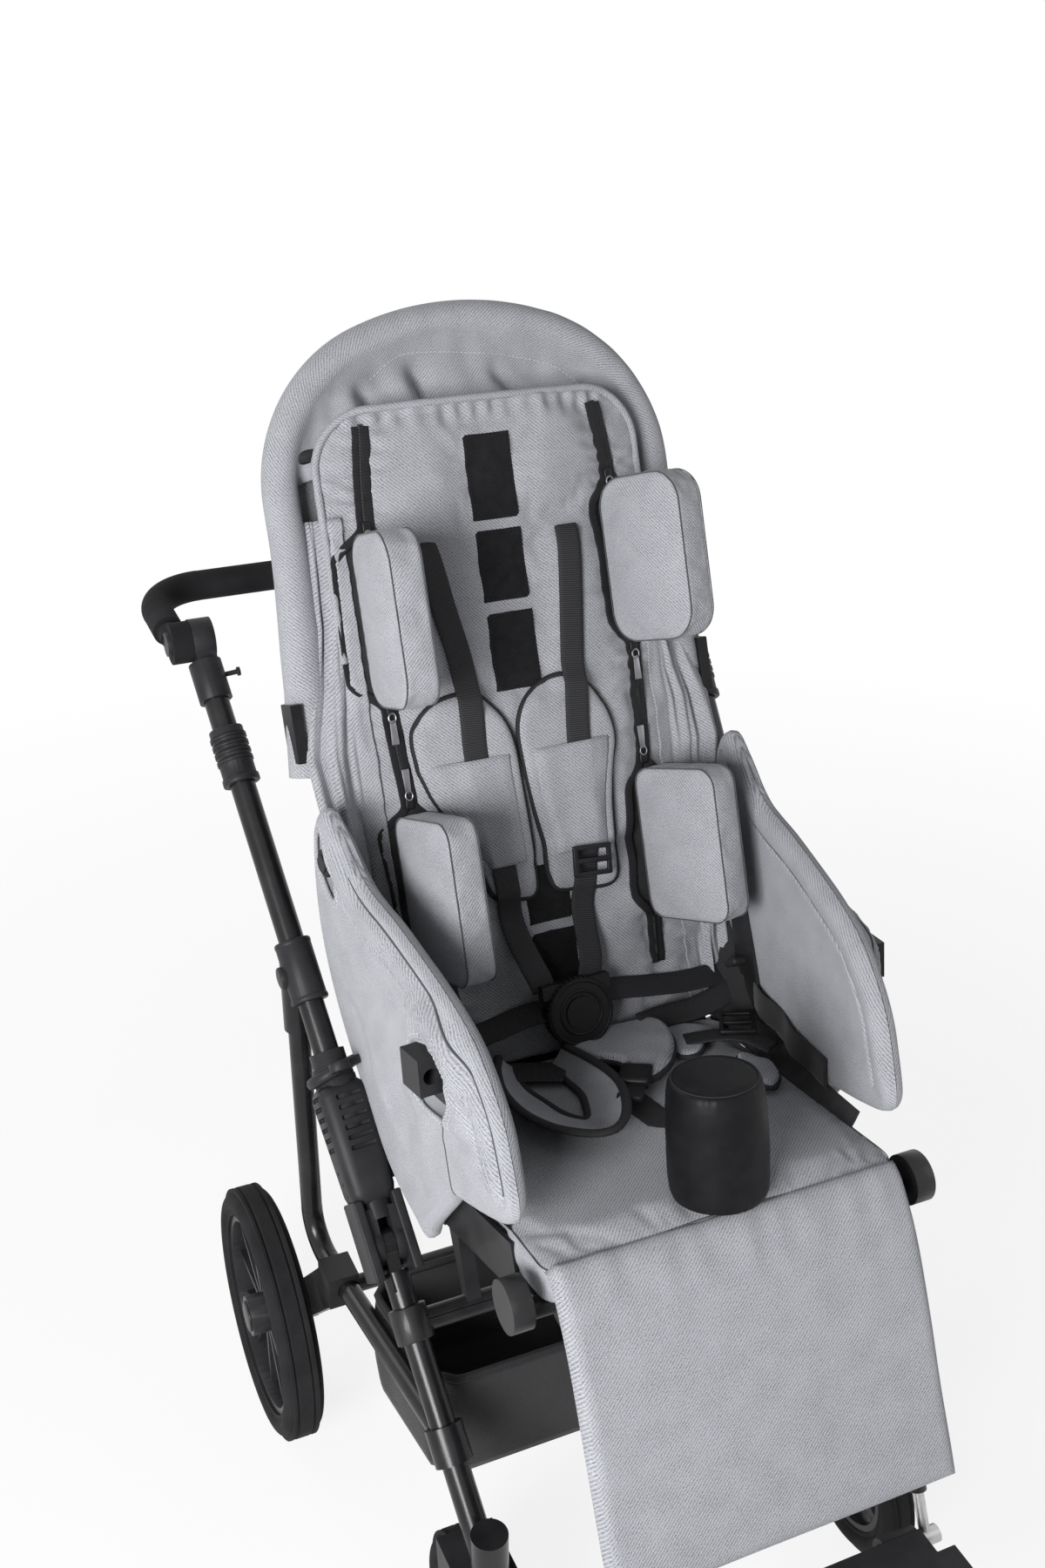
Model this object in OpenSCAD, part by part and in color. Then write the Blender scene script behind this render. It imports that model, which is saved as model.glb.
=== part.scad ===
// Special needs buggy: folding chassis with a lift-off seat unit.
// Millimetres, Z up, floor at Z = 0, the seat looks along -Y.
// Right and left are those of the child in the seat, right is -X.

/* [Chassis] */
// Height of the seat and back junction above the floor
seat_height = 500; // [485:5:515]
// Distance between the rear wheel centres
track = 580; // [574:2:600]
// Outside diameter of the long frame tubes
tube_d = 25; // [24:0.5:26]
// Slope of the long frame tubes above the floor
tube_slope = 48.4; // [47.4:0.2:49.4]

/* [Wheels] */
// Rear wheel diameter
rear_wheel_d = 278; // [270:2:284]
// Rear tyre width
rear_tyre_w = 44; // [38:1:46]
// Front wheel diameter
front_wheel_d = 170; // [160:2:172]
// Front tyre width
front_tyre_w = 36; // [30:1:38]

/* [Handle] */
// Distance from the handle hinge back to the middle of the grip
handle_reach = 130; // [115:5:145]
// Diameter of the soft grip
grip_d = 32; // [28:1:34]

/* [Seat] */
// Width of the seat cushion
seat_width = 339; // [325:1:342]
// Depth of the seat cushion
seat_depth = 310; // [300:1:316]
// Thickness of the seat cushion in the middle
cushion_t = 46; // [40:1:50]
// Nose-up tilt of the seat
seat_tilt = 9.6; // [8.6:0.2:10.6]

/* [Backrest] */
// Recline of the back from upright
recline = 19.7; // [17.7:0.2:21.7]
// Height of the top of the padded hoop along the back
back_height = 752; // [740:2:764]
// Height of the back cushion along the back
pad_height = 655; // [640:1:664]
// Width of the back cushion
pad_width = 330; // [310:2:334]

/* [Supports] */
// Diameter of the pommel
pommel_d = 85.6; // [76:0.4:92]
// Height of the pommel above the seat
pommel_h = 117; // [100:1:130]
// Thickness of the side support pads
support_t = 40; // [34:1:42]
// Depth of the side support pads
support_depth = 106; // [96:1:110]

/* [Legrest] */
// Length of the calf cushion
calf_length = 195; // [180:5:200]
// Depth of the footplate
foot_depth = 124; // [116:2:136]

/* [Hidden] */
$fn = 64;
gap = 0.3;
run = 0.05;
hair = 0.2;
lap = 3;
tube_r = tube_d / 2;
leg_top = 26;
seat_y = 50;
splay = 4.56;
pivot = [-231.3, -37.6, 417.1];
tube_dir = [-cos(90 - tube_slope) * sin(splay), sin(90 - tube_slope),
            cos(90 - tube_slope) * cos(splay)];
hub_s = 616;
hub = pivot + hub_s * tube_dir;
hub_r = 22;
caster_y = -240;
caster_s = -290;
caster_x = pivot[0] + caster_s * tube_dir[0];
caster_trail = 40;
socket_z0 = 186.5;
socket_z1 = 246;
front_r = front_wheel_d / 2;
axle_y = 212;
rear_r = rear_wheel_d / 2;
axle_z = rear_r;
carrier_x = track / 2 - 40;
leg_x = 250;
leg_y = 152;
leg_r = 11;
rail_z = 279;
rail_bend = 40;
rail_turn = 5.44;
rail_len = 292;
rail_clamp_s = (rail_z - pivot[2]) / tube_dir[2];
cross_s = -75;
cross_p = pivot + cross_s * tube_dir;
sleeve_r = 17.5;
sleeve_s0 = 236;
sleeve_s1 = 297;
saddle_r = sleeve_r + gap;
ring_s = 160;
ring_h = 12;
neck_r = 17;
slider_s = 461;
slider_h = 58;
frame_h = -cushion_t - gap - 9 + 4;
seat_half = seat_width / 2;
seat_crown = 1200;
back_crown = 700;
crown_fn = 1440;
pad_half = pad_width / 2;
wing_out = 220;
wing_yaw = 5.71;
wing_t = 20;
wing_mid = [100, 120];
wing_inset = [0, 1.6, 6, 12, 21, 25, 29];
wing_half = [2, 6, 9, 10, 10, 8.4, 10];
pin_d = 91;
pin_h = frame_h - 22;
hinge_d = -22;
hinge_h = -18;
knee_d = seat_depth + 8;
knee_h = -58;
front_d = knee_d - 28;
stem_d = knee_d - 33;
hinge_eye = 12;
leg_drop = 75;
hoop_n = -50;
hoop_r = 9;
roll_r = 17;
corner_r = 148;
corner_x = 46;
corner_l = back_height - 173;
crest_r = 283;
crest_l = back_height - 300;
crest_a = atan2(corner_l - crest_l, corner_x);
roll_end = 372;
rail_x = 120;
rail_n = -46.3;
rail_r = 8;
rail_l0 = 40;
rail_l1 = 620;
head_l = [462, 484];
trunk_l = 203;
support_n = 9;
support_in = [116, 100];
support_toe = [0, 18];
buckle_n = 23.5;
support_crown = 260;
wing_points = [[-34, 298], [-60, 262], [-66, 175], [-36, 86], [47, -24], [128, -74], [194, 0],
               [246, 20], [284, 42], [302, 76], [301, 110], [278, 146], [232, 176], [165, 207],
               [95, 228], [40, 246], [-4, 282]];

// Point on a closed Catmull-Rom curve through pts.
function knot(pts, i) = pts[(i + len(pts)) % len(pts)];
function bend_at(a, b, c, d, t) =
    0.5 * ((2 * b) + (c - a) * t + (2 * a - 5 * b + 4 * c - d) * t * t
           + (3 * b - a - 3 * c + d) * t * t * t);
function smooth(pts, n) =
    [for (i = [0 : len(pts) - 1], j = [0 : n - 1])
        bend_at(knot(pts, i - 1), knot(pts, i), knot(pts, i + 1), knot(pts, i + 2), j / n)];

// Frame of a long tube of the right side, Z runs up the tube.
module on_tube() {
    translate(pivot) rotate([-(90 - tube_slope), -splay, 0]) children();
}

// Frame at the fold pivot of the right side, X stays level.
module at_pivot() {
    translate(pivot) rotate([-(90 - tube_slope), 0, 0]) children();
}

// Frame of the seat, -Y is forward along the seat and Z its normal.
module at_seat() {
    translate([0, seat_y, seat_height]) rotate([-seat_tilt, 0, 0]) children();
}

// Frame of the back, Z runs up the back and -Y is its front.
module at_back() {
    translate([0, seat_y, seat_height]) rotate([-recline, 0, 0]) children();
}

// Frame of the right wing, X = 0 is its outer face and the wing lies on +X.
module at_wing() {
    at_seat() translate([-wing_out, 0, 0]) rotate([0, 0, wing_yaw]) children();
}

// Frame of the legrest, -Y runs down it and Z is its front.
module at_legrest() {
    at_seat() translate([0, -knee_d, knee_h]) rotate([leg_drop, 0, 0]) children();
}

// The other side.
module left() {
    mirror([1, 0, 0]) children();
}

// Cylinder along X between two X values.
module bar_x(x0, x1, r) {
    translate([x0, 0, 0]) rotate([0, 90, 0]) cylinder(r = r, h = x1 - x0);
}

// Cylinder along Y between two Y values.
module bar_y(y0, y1, r) {
    translate([0, y0, 0]) rotate([-90, 0, 0]) cylinder(r = r, h = y1 - y0);
}

// Plate in the YZ plane, its 2-D X is -Y, from x0 to x1.
module plate_x(x0, x1) {
    translate([x0, 0, 0]) rotate([90, 0, -90]) mirror([0, 0, 1]) linear_extrude(x1 - x0) children();
}

// Stretch of a cylinder round the right long tube, centred on s.
module round_tube(s, r, h) {
    on_tube() translate([0, 0, s - h / 2]) cylinder(r = r, h = h);
}

// Bent bar round Z from the X axis, bend radius big, bar radius r.
module elbow(big, r, turn) {
    rotate_extrude(angle = turn) translate([big, 0]) circle(r = r);
}

module front_leg_right() {
    color("black") difference() {
        union() {
            on_tube() translate([0, 0, caster_s]) cylinder(r = tube_r, h = -caster_s - leg_top);
            at_pivot() bar_x(-6, 6, 15);
            at_pivot() translate([-6, -11, -44]) cube([12, 22, 44]);
            translate([caster_x, caster_y, socket_z0]) cylinder(r = 17, h = socket_z1 - socket_z0);
        }
        at_pivot() bar_x(-8, 8, 6 + run);
        translate([caster_x, caster_y, socket_z0 - 1]) cylinder(r = 6 + run, h = 51);
    }
}

module front_leg_left() {
    left() front_leg_right();
}

module rear_leg_right() {
    color("black") {
        difference() {
            union() {
                translate([-leg_x, leg_y, rail_z + rail_bend - lap])
                    cylinder(r = leg_r - hair, h = 250);
                translate([-leg_x, leg_y, 545]) cylinder(r = 14.5, h = 90);
            }
            on_tube() cylinder(r = saddle_r, h = 400);
            on_tube() translate([-60, -120, 0]) cube([120, 123, 400]);
        }
        translate([-leg_x, leg_y, rail_z + rail_bend]) rotate([0, 0, rail_turn])
            translate([0, -rail_bend, 0]) rotate([0, 90, 0]) elbow(rail_bend, leg_r, 90);
        difference() {
            union() {
                translate([-leg_x, leg_y, rail_z]) rotate([0, 0, rail_turn])
                    bar_y(-rail_len, -rail_bend + lap, leg_r - hair);
                on_tube() translate([0, 0, rail_clamp_s - 17]) cylinder(r = 18, h = 34);
            }
            on_tube() translate([0, 0, rail_clamp_s - 40]) cylinder(r = tube_r + gap, h = 80);
        }
    }
}

module rear_leg_left() {
    left() rear_leg_right();
}

// Swing arm from the lower rail down to the rear axle.
module carrier() {
    difference() {
        union() {
            translate([0, axle_y, axle_z]) bar_x(-carrier_x - 10, -carrier_x + 10, 21);
            plate_x(-carrier_x - 8, -carrier_x + 8)
                polygon([[-axle_y - 12, axle_z + 15], [-axle_y + 16, axle_z - 13],
                         [-66, rail_z - 19], [-98, rail_z + 8]]);
            translate([-max(leg_x + 12, carrier_x + 8), 62, rail_z - 19])
                cube([max(leg_x + 12, carrier_x + 8) - min(leg_x - 20, carrier_x - 8), 36, 36]);
        }
        translate([-leg_x, leg_y, rail_z]) rotate([0, 0, rail_turn])
            bar_y(-rail_len, 0, leg_r + gap);
    }
}

module rear_axle() {
    color("dimgray") {
        translate([0, axle_y, axle_z]) bar_x(-carrier_x, carrier_x, 10);
        translate([0, axle_y, axle_z]) bar_x(-track / 2 - 18, track / 2 + 18, 6);
        carrier();
        left() carrier();
    }
}

// Receiver for the seat pin, open forward and up.
module receiver() {
    pin_y = seat_y - pin_d * cos(seat_tilt) + pin_h * sin(seat_tilt);
    pin_z = seat_height + pin_d * sin(seat_tilt) + pin_h * cos(seat_tilt);
    difference() {
        union() {
            translate([0, pin_y, pin_z]) bar_x(-172, -158, 19);
            plate_x(-172, -158)
                polygon([[-pin_y - 17, pin_z], [-pin_y + 15, pin_z - 10], [-cross_p[1] + 9, cross_p[2]],
                         [-cross_p[1] - 9, cross_p[2]]]);
        }
        translate([0, pin_y, pin_z]) bar_x(-180, -150, 8 + gap + hair);
        translate([-180, pin_y, pin_z]) rotate([-20, 0, 0]) translate([0, -40, -8 - gap])
            cube([30, 40, 16 + 2 * gap]);
    }
}

module seat_cross_tube() {
    color("dimgray") difference() {
        union() {
            translate([0, cross_p[1], cross_p[2]]) bar_x(cross_p[0], -cross_p[0], 11);
            round_tube(cross_s, 18, 32);
            left() round_tube(cross_s, 18, 32);
            receiver();
            left() receiver();
        }
        round_tube(cross_s, tube_r + gap, 80);
        left() round_tube(cross_s, tube_r + gap, 80);
    }
}

// Outline of the basket at a given inset from the rails.
module basket_outline(inset) {
    polygon([[-246 + inset, 52 - inset / 4], [-230.5 + inset, -112 + inset / 4],
             [230.5 - inset, -112 + inset / 4], [246 - inset, 52 - inset / 4]]);
}

module basket() {
    flange_z = rail_z + leg_r + gap;
    color("black") {
        translate([0, 0, flange_z]) linear_extrude(3) difference() {
            basket_outline(0);
            basket_outline(24);
        }
        difference() {
            translate([0, 0, 172]) linear_extrude(flange_z - 170) basket_outline(21);
            translate([0, 0, 175]) linear_extrude(flange_z) basket_outline(24);
        }
    }
}

module brake_pedal() {
    color("red") difference() {
        union() {
            translate([0, axle_y, axle_z]) bar_x(-32, 32, 16);
            translate([-38, axle_y + 8, axle_z + 2]) cube([76, 58, 8]);
        }
        translate([0, axle_y, axle_z]) bar_x(-40, 40, 10 + run);
    }
}

// Spoked wheel about X at the origin.
module wheel(rim_r, rim_w, hub_r1, hub_w, spokes, spoke_w) {
    difference() {
        bar_x(-rim_w / 2, rim_w / 2, rim_r);
        bar_x(-rim_w, rim_w, rim_r - 7);
    }
    bar_x(-hub_w / 2, hub_w / 2, hub_r1);
    for (i = [0 : spokes - 1])
        rotate([i * 360 / spokes, 0, 0])
            translate([-6, -spoke_w / 2, hub_r1 - 4]) cube([12, spoke_w, rim_r - hub_r1 - 1]);
}

// Tyre about X at the origin.
module tyre(r, rim_r, w) {
    rotate([0, 90, 0]) rotate_extrude() difference() {
        union() {
            translate([rim_r, -w / 2 + 4]) square([r - rim_r - 12, w - 8]);
            translate([r - 16, -w / 2 + 8]) square([16, w - 16]);
            translate([r - 15, -w / 2 + 11]) circle(r = 11);
            translate([r - 15, w / 2 - 11]) circle(r = 11);
        }
        translate([r, -w / 5]) circle(r = 2);
        translate([r, w / 5]) circle(r = 2);
    }
}

module rear_wheel_right() {
    color("gray") difference() {
        translate([-track / 2, axle_y, axle_z]) wheel(rear_r - 29, 30, 22, 50, 12, 6);
        translate([0, axle_y, axle_z]) bar_x(-track / 2 - 20, -track / 2 + 40, 6 + run);
    }
}

module rear_wheel_left() {
    left() rear_wheel_right();
}

module rear_tyre_right() {
    color("black") translate([-track / 2, axle_y, axle_z]) tyre(rear_r, rear_r - 29, rear_tyre_w);
}

module rear_tyre_left() {
    left() rear_tyre_right();
}

// Cheek of the caster fork.
module fork_cheek() {
    cheek_y = caster_y + caster_trail;
    plate_x(22, 28) {
        polygon([[-caster_y + 16, 186], [-cheek_y - 22, 186], [-cheek_y - 12, front_r],
                 [-cheek_y + 12, front_r]]);
        translate([-cheek_y, front_r]) circle(r = 12);
    }
}

module caster_fork_right() {
    color("black") translate([caster_x, 0, 0]) {
        translate([0, caster_y, 180]) cylinder(r = 6, h = 52);
        translate([-28, caster_y - 16, 176]) cube([56, 78, 10]);
        fork_cheek();
        left() fork_cheek();
        translate([0, caster_y + caster_trail, front_r]) bar_x(-24, 24, 5);
    }
}

module caster_fork_left() {
    left() caster_fork_right();
}

module front_wheel_right() {
    color("gray") difference() {
        translate([caster_x, caster_y + caster_trail, front_r])
            wheel(front_r - 28, 26, 15, 42, 6, 12);
        translate([caster_x, caster_y + caster_trail, front_r]) bar_x(-30, 30, 5 + run);
    }
}

module front_wheel_left() {
    left() front_wheel_right();
}

module front_tyre_right() {
    color("black") translate([caster_x, caster_y + caster_trail, front_r])
        tyre(front_r, front_r - 28, front_tyre_w);
}

module front_tyre_left() {
    left() front_tyre_right();
}

module push_tube_right() {
    color("black") on_tube() translate([0, 0, 40]) cylinder(r = tube_r, h = 548);
}

module push_tube_left() {
    left() push_tube_right();
}

// Cheeks of the fold joint.
module fold_fork() {
    for (x = [-15, 6 + gap]) {
        at_pivot() bar_x(x, x + 15 - 6 - gap, 18);
        at_pivot() translate([x, -15, 0]) cube([15 - 6 - gap, 30, 34]);
    }
}

module fold_housing_right() {
    color("dimgray") difference() {
        union() {
            fold_fork();
            on_tube() translate([0, 0, 24]) cylinder(r = 16.5, h = 100);
            on_tube() translate([0, 0, 110]) cylinder(r = 20, h = ring_s - gap - 110);
            on_tube() translate([0, 0, 110]) cylinder(r = neck_r, h = 76);
            on_tube() translate([-9, 0, 24])
                plate_x(0, 14) polygon([[0, 0], [-20, 0], [-33, 22], [-33, 74], [-22, 112], [0, 118]]);
            on_tube() translate([-14, -12, 40]) cube([6, 26, 96]);
        }
        on_tube() translate([0, 0, 38]) cylinder(r = tube_r + gap, h = 200);
        for (i = [0 : 5])
            on_tube() translate([-24, -10 + 1.2 * i, 66 + 11 * i]) rotate([-14, 0, 0]) cube([8, 22, 5]);
        for (i = [0 : 2])
            on_tube() translate([-12, 20, 46 + 22 * i]) bar_x(0, 5, 2);
        at_pivot() bar_x(-6 - gap, 6 + gap, 17);
        at_pivot() translate([-6 - gap, -60, -40]) cube([12 + 2 * gap, 120, 40]);
    }
    color("silver") at_pivot() bar_x(-12, 12, 6);
}

module fold_housing_left() {
    left() fold_housing_right();
}

module leg_sleeve_right() {
    color("dimgray") difference() {
        on_tube() translate([0, 0, sleeve_s0]) cylinder(r = sleeve_r, h = sleeve_s1 - sleeve_s0);
        on_tube() translate([0, 0, sleeve_s0 - 5]) cylinder(r = tube_r + gap, h = 90);
    }
}

module leg_sleeve_left() {
    left() leg_sleeve_right();
}

module handle_socket_right() {
    color("dimgray") difference() {
        union() {
            on_tube() translate([0, 0, 550]) cylinder(r = 16.5, h = 41);
            on_tube() translate([-7, -13, 570]) cube([19, 26, 36]);
            translate(hub) bar_x(-8, 14, hub_r);
            translate(hub) bar_x(-16.5, 0, 6);
            on_tube() translate([0, -2, 574]) bar_x(10, 30, 2.5);
            on_tube() translate([0, -2, 574]) bar_x(28, 31, 4.5);
        }
        on_tube() translate([0, 0, 500]) cylinder(r = tube_r + gap, h = 90);
    }
}

module handle_socket_left() {
    left() handle_socket_right();
}

module lock_ring_right() {
    color("dimgray") difference() {
        on_tube() {
            translate([0, 0, ring_s]) cylinder(r = neck_r + 2.2, h = ring_h);
            translate([-6, -46, ring_s + 2]) cube([12, 40, 8]);
            translate([0, -44, ring_s + 2]) cylinder(r = 10, h = 8);
        }
        on_tube() translate([0, 0, ring_s - 5]) cylinder(r = neck_r + run, h = 30);
    }
}

module lock_ring_left() {
    left() lock_ring_right();
}

module release_slider_right() {
    color("dimgray") difference() {
        on_tube() {
            translate([0, 0, slider_s]) cylinder(r = 17, h = slider_h);
            translate([0, 0, slider_s]) cylinder(r = 18.5, h = 7);
            for (i = [0 : 3])
                translate([0, 0, slider_s + 22 + 8 * i]) cylinder(r = 18.2, h = 4);
        }
        on_tube() translate([0, 0, slider_s - 5]) cylinder(r = tube_r + run, h = 80);
    }
}

module release_slider_left() {
    left() release_slider_right();
}

// Hinge half, arm and corner of the handle on the right side.
module handle_side() {
    arm_x = -hub[0] + 22;
    bend = 55;
    difference() {
        union() {
            translate([hub[0], 0, 0]) bar_x(-28, -8 - gap, hub_r - 1);
            translate([-arm_x, 0, 0]) bar_y(0, 60, grip_d / 2 - 4);
            translate([-arm_x, 0, 0]) bar_y(30, handle_reach - bend + lap, grip_d / 2 - hair);
            translate([-arm_x + bend, handle_reach - bend, 0]) rotate([0, 0, 90])
                elbow(bend, grip_d / 2, 90);
        }
        translate([hub[0], 0, 0]) bar_x(-17, 0, 6 + run);
        translate([hub[0], 0, 0]) bar_x(-40, -18, 12 + run);
    }
}

module handle_bar() {
    color("black") translate([0, hub[1], hub[2]]) rotate([4.8, 0, 0]) {
        handle_side();
        left() handle_side();
        translate([0, handle_reach, 0])
            bar_x(hub[0] + 33 - lap, -hub[0] - 33 + lap, grip_d / 2 - hair);
    }
}

module hinge_button_right() {
    color("dimgray") translate(hub) bar_x(-32, -22.5, 12);
}

module hinge_button_left() {
    left() hinge_button_right();
}

// Side plate, upright and lugs of the seat frame on the right.
module seat_frame_side() {
    at_wing() plate_x(wing_t + gap, wing_t + gap + 4) {
        polygon([[8, -62], [front_d - 4, -62], [front_d + 10, -44], [front_d - 32, -44],
                 [front_d - 38, -14], [60, -14], [-14, 246], [-48, 240], [8, -10]]);
        translate([-30, 245]) circle(r = 16);
    }
    at_wing() translate([0, 30, 247]) bar_x(2, wing_t + 2, 11);
    at_seat() {
        translate([0, -front_d, frame_h]) bar_x(-200, 0, 9);
        translate([0, -20, frame_h]) bar_x(-208, 0, 9);
        translate([-140, 0, frame_h]) bar_y(-front_d, -20, 9);
        translate([0, -pin_d, pin_h]) bar_x(-180, -136, 8);
        translate([-148, -pin_d - 10, pin_h]) cube([12, 20, frame_h - pin_h]);
        plate_x(-176.3, -170.3) {
            translate([hinge_d, hinge_h]) circle(r = hinge_eye);
            polygon([[hinge_d - 10, hinge_h - 10], [hinge_d + 10, hinge_h + 10], [28, frame_h + 4],
                     [14, frame_h - 6]]);
        }
        translate([0, -hinge_d, hinge_h]) bar_x(-184, -172, 6);
        plate_x(-158, -150) {
            translate([knee_d, knee_h]) circle(r = 13);
            polygon([[front_d - 6, frame_h + 6], [front_d - 6, frame_h - 8], [knee_d, knee_h - 13],
                     [knee_d, knee_h + 13]]);
        }
        translate([0, -knee_d, knee_h]) bar_x(-156, -132, 6);
        translate([0, -front_d - 6, frame_h + 14]) bar_x(-203, -184, 23);
    }
}

module seat_frame() {
    color("dimgray") difference() {
        union() {
            seat_frame_side();
            left() seat_frame_side();
            at_seat() translate([0, -stem_d, frame_h - 26]) cylinder(r = 15, h = 34.9);
        }
        at_seat() translate([0, -stem_d, frame_h - 30]) cylinder(r = 10 + run, h = 60);
    }
}

// Long round surface that crowns the seat cushion, raised by up.
module seat_skin(up) {
    translate([0, 0, 4 - seat_crown]) bar_y(-360, 60, seat_crown + up, $fn = crown_fn);
}

module seat_cushion() {
    color("lightgray") difference() {
        at_seat() intersection() {
            plate_x(-seat_half, seat_half) {
                translate([-5, 4 - cushion_t]) square([seat_depth - 15, cushion_t]);
                translate([-5, 10 - cushion_t]) square([seat_depth + 5 - 18, cushion_t - 6]);
                translate([seat_depth - 18, 4 - 18]) circle(r = 18);
                translate([seat_depth - 18, 4 - cushion_t + 18]) circle(r = 18);
                translate([seat_depth - 24, 4 - cushion_t + 18]) square([24, cushion_t - 36]);
            }
            seat_skin(0);
        }
        at_seat() translate([0, -stem_d, -cushion_t]) cylinder(r = 12, h = 2 * cushion_t);
        at_seat() translate([0, -seat_depth + 18, 4]) bar_x(-200, 200, 1.6);
    }
}

// Ring of a wing's skin, inset towards its middle, at half a thickness on one side.
function wing_ring(edge, inset, half) =
    [for (p = edge) let (q = p - inset * (p - wing_mid) / norm(p - wing_mid))
        [wing_t / 2 + half, -q[0], q[1]]];

// Triangles between two rings of n points, wound one way or the other.
function ring_faces(a, b, n, flip) =
    [for (i = [0 : n - 1]) let (j = (i + 1) % n)
        each flip ? [[a + i, b + i, b + j], [a + i, b + j, a + j]]
                  : [[a + i, b + j, b + i], [a + i, a + j, b + j]]];

// Padded skin of the wing: rolled edge, sewn channel and flat middle.
module wing_skin() {
    edge = smooth(wing_points, 4);
    n = len(edge);
    m = len(wing_inset);
    rings = [for (s = [-1, 1], k = [0 : m - 1]) each wing_ring(edge, wing_inset[k], s * wing_half[k])];
    hubs = [for (s = [-1, 1]) [wing_t / 2 + s * wing_half[m - 1], -wing_mid[0], wing_mid[1]]];
    fan = [for (i = [0 : n - 1]) let (j = (i + 1) % n)
        each [[2 * m * n, (m - 1) * n + j, (m - 1) * n + i],
              [2 * m * n + 1, (2 * m - 1) * n + i, (2 * m - 1) * n + j]]];
    faces = concat(ring_faces(0, m * n, n, true), fan,
                   [for (k = [0 : m - 2]) each ring_faces(k * n, (k + 1) * n, n, false)],
                   [for (k = [m : 2 * m - 2]) each ring_faces(k * n, (k + 1) * n, n, true)]);
    polyhedron(points = concat(rings, hubs), faces = faces);
}

module wing_right() {
    color("lightgray") difference() {
        at_wing() wing_skin();
        at_wing() plate_x(-1, wing_t + 1) {
            translate([-30, 247]) circle(r = 25);
            translate([190, 132]) circle(r = 20);
            translate([172, 118]) square([36, 28]);
        }
    }
}

module wing_left() {
    left() wing_right();
}

module bumper_socket_right() {
    color("dimgray") difference() {
        at_wing() {
            translate([-5 - gap, -218, 102]) cube([5, 58, 62]);
            translate([-28, -206, 116]) cube([24, 34, 34]);
        }
        at_wing() translate([-17, -210, 133]) bar_y(0, 30, 7);
    }
}

module bumper_socket_left() {
    left() bumper_socket_right();
}

// Hip pad of the right side, drawn on the seat.
module hip_pad() {
    polygon(smooth([[-150, -30], [-96, -22], [-44, -34], [-36, -62], [-84, -74], [-150, -62]], 4));
}

module lap_harness() {
    color("gray") at_seat() intersection() {
        translate([0, 0, -20]) linear_extrude(60) {
            hip_pad();
            left() hip_pad();
        }
        difference() {
            seat_skin(10);
            seat_skin(gap);
        }
    }
}

module buckle() {
    color("black") at_back() difference() {
        union() {
            translate([0, -buckle_n, 58]) bar_y(-18, 0, 34);
            translate([-36, -buckle_n - 14, 76]) cube([72, 12, 14]);
            translate([-20, -buckle_n - 11, -1.3]) cube([40, 3, 41.4]);
        }
        translate([0, -buckle_n, 58]) bar_y(-20, -13, 16 + 2 * run);
    }
}

module buckle_button() {
    color("dimgray") at_back() translate([0, -buckle_n, 58]) bar_y(-20, -16, 16);
}

module pommel() {
    color("black") at_seat() {
        translate([0, -stem_d - 8, 5]) rotate_extrude() {
            square([pommel_d / 2 - 12, pommel_h - 5]);
            translate([0, 10]) square([pommel_d / 2, pommel_h - 5 - 22]);
            translate([pommel_d / 2 - 12, pommel_h - 5 - 12]) circle(r = 12);
            translate([0, 0]) square([pommel_d / 2 - 3, 12]);
        }
        translate([0, -stem_d, frame_h - 24]) cylinder(r = 10, h = 40 - frame_h);
    }
}

// Corner and side of the hoop on the right, bar radius r, side down to l0.
module hoop_side(r, l0) {
    translate([-corner_x, 0, corner_l]) rotate([90, 0, 0]) rotate([0, 0, 180 - crest_a])
        elbow(corner_r, r, crest_a);
    translate([-corner_x - corner_r, 0, l0]) cylinder(r = r - hair, h = corner_l - l0 + lap);
}

// Hoop of the back, bar radius r, sides down to l0.
module hoop(r, l0) {
    hoop_side(r, l0);
    left() hoop_side(r, l0);
    translate([0, 0, crest_l]) rotate([90, 0, 0]) rotate([0, 0, crest_a - 2])
        elbow(crest_r, r - hair, 184 - 2 * crest_a);
}

// Side bar and hinge lug of the back frame on the right.
module back_side() {
    side_x = corner_x + corner_r;
    low = [-180, -hoop_n - 12, -2];
    top = [-side_x, -hoop_n, roll_end];
    run_v = top - low;
    translate(low) rotate([0, acos(run_v[2] / norm(run_v)), atan2(run_v[1], run_v[0])])
        cylinder(r = hoop_r, h = norm(run_v));
    translate(top) sphere(r = hoop_r + 0.5);
    translate([-rail_x, -rail_n, rail_l0]) cylinder(r = rail_r, h = rail_l1 - rail_l0);
    translate([0, -rail_n, rail_l0]) bar_x(-178, 0, rail_r);
    translate([0, -rail_n, rail_l1]) bar_x(-184, 0, rail_r);
}

module back_frame() {
    hinge_y = -hinge_d * cos(seat_tilt) + hinge_h * sin(seat_tilt);
    hinge_z = hinge_d * sin(seat_tilt) + hinge_h * cos(seat_tilt);
    color("dimgray") difference() {
        union() {
            at_back() {
                translate([0, -hoop_n, 0]) hoop(hoop_r, roll_end);
                back_side();
                left() back_side();
            }
            for (s = [-1, 1])
                translate([s * 179.8, seat_y + hinge_y, seat_height + hinge_z]) bar_x(-3.2, 3.2, 14);
        }
        translate([0, seat_y + hinge_y, seat_height + hinge_z]) bar_x(-200, 200, 6 + run);
    }
}

module back_roll() {
    color("lightgray") at_back() difference() {
        translate([0, -hoop_n, 0]) hoop(roll_r, roll_end + 12);
        translate([0, -hoop_n, 0]) hoop(hoop_r + gap, roll_end);
        translate([0, -rail_n, rail_l1]) bar_x(-220, 220, rail_r + gap);
    }
}

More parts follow.
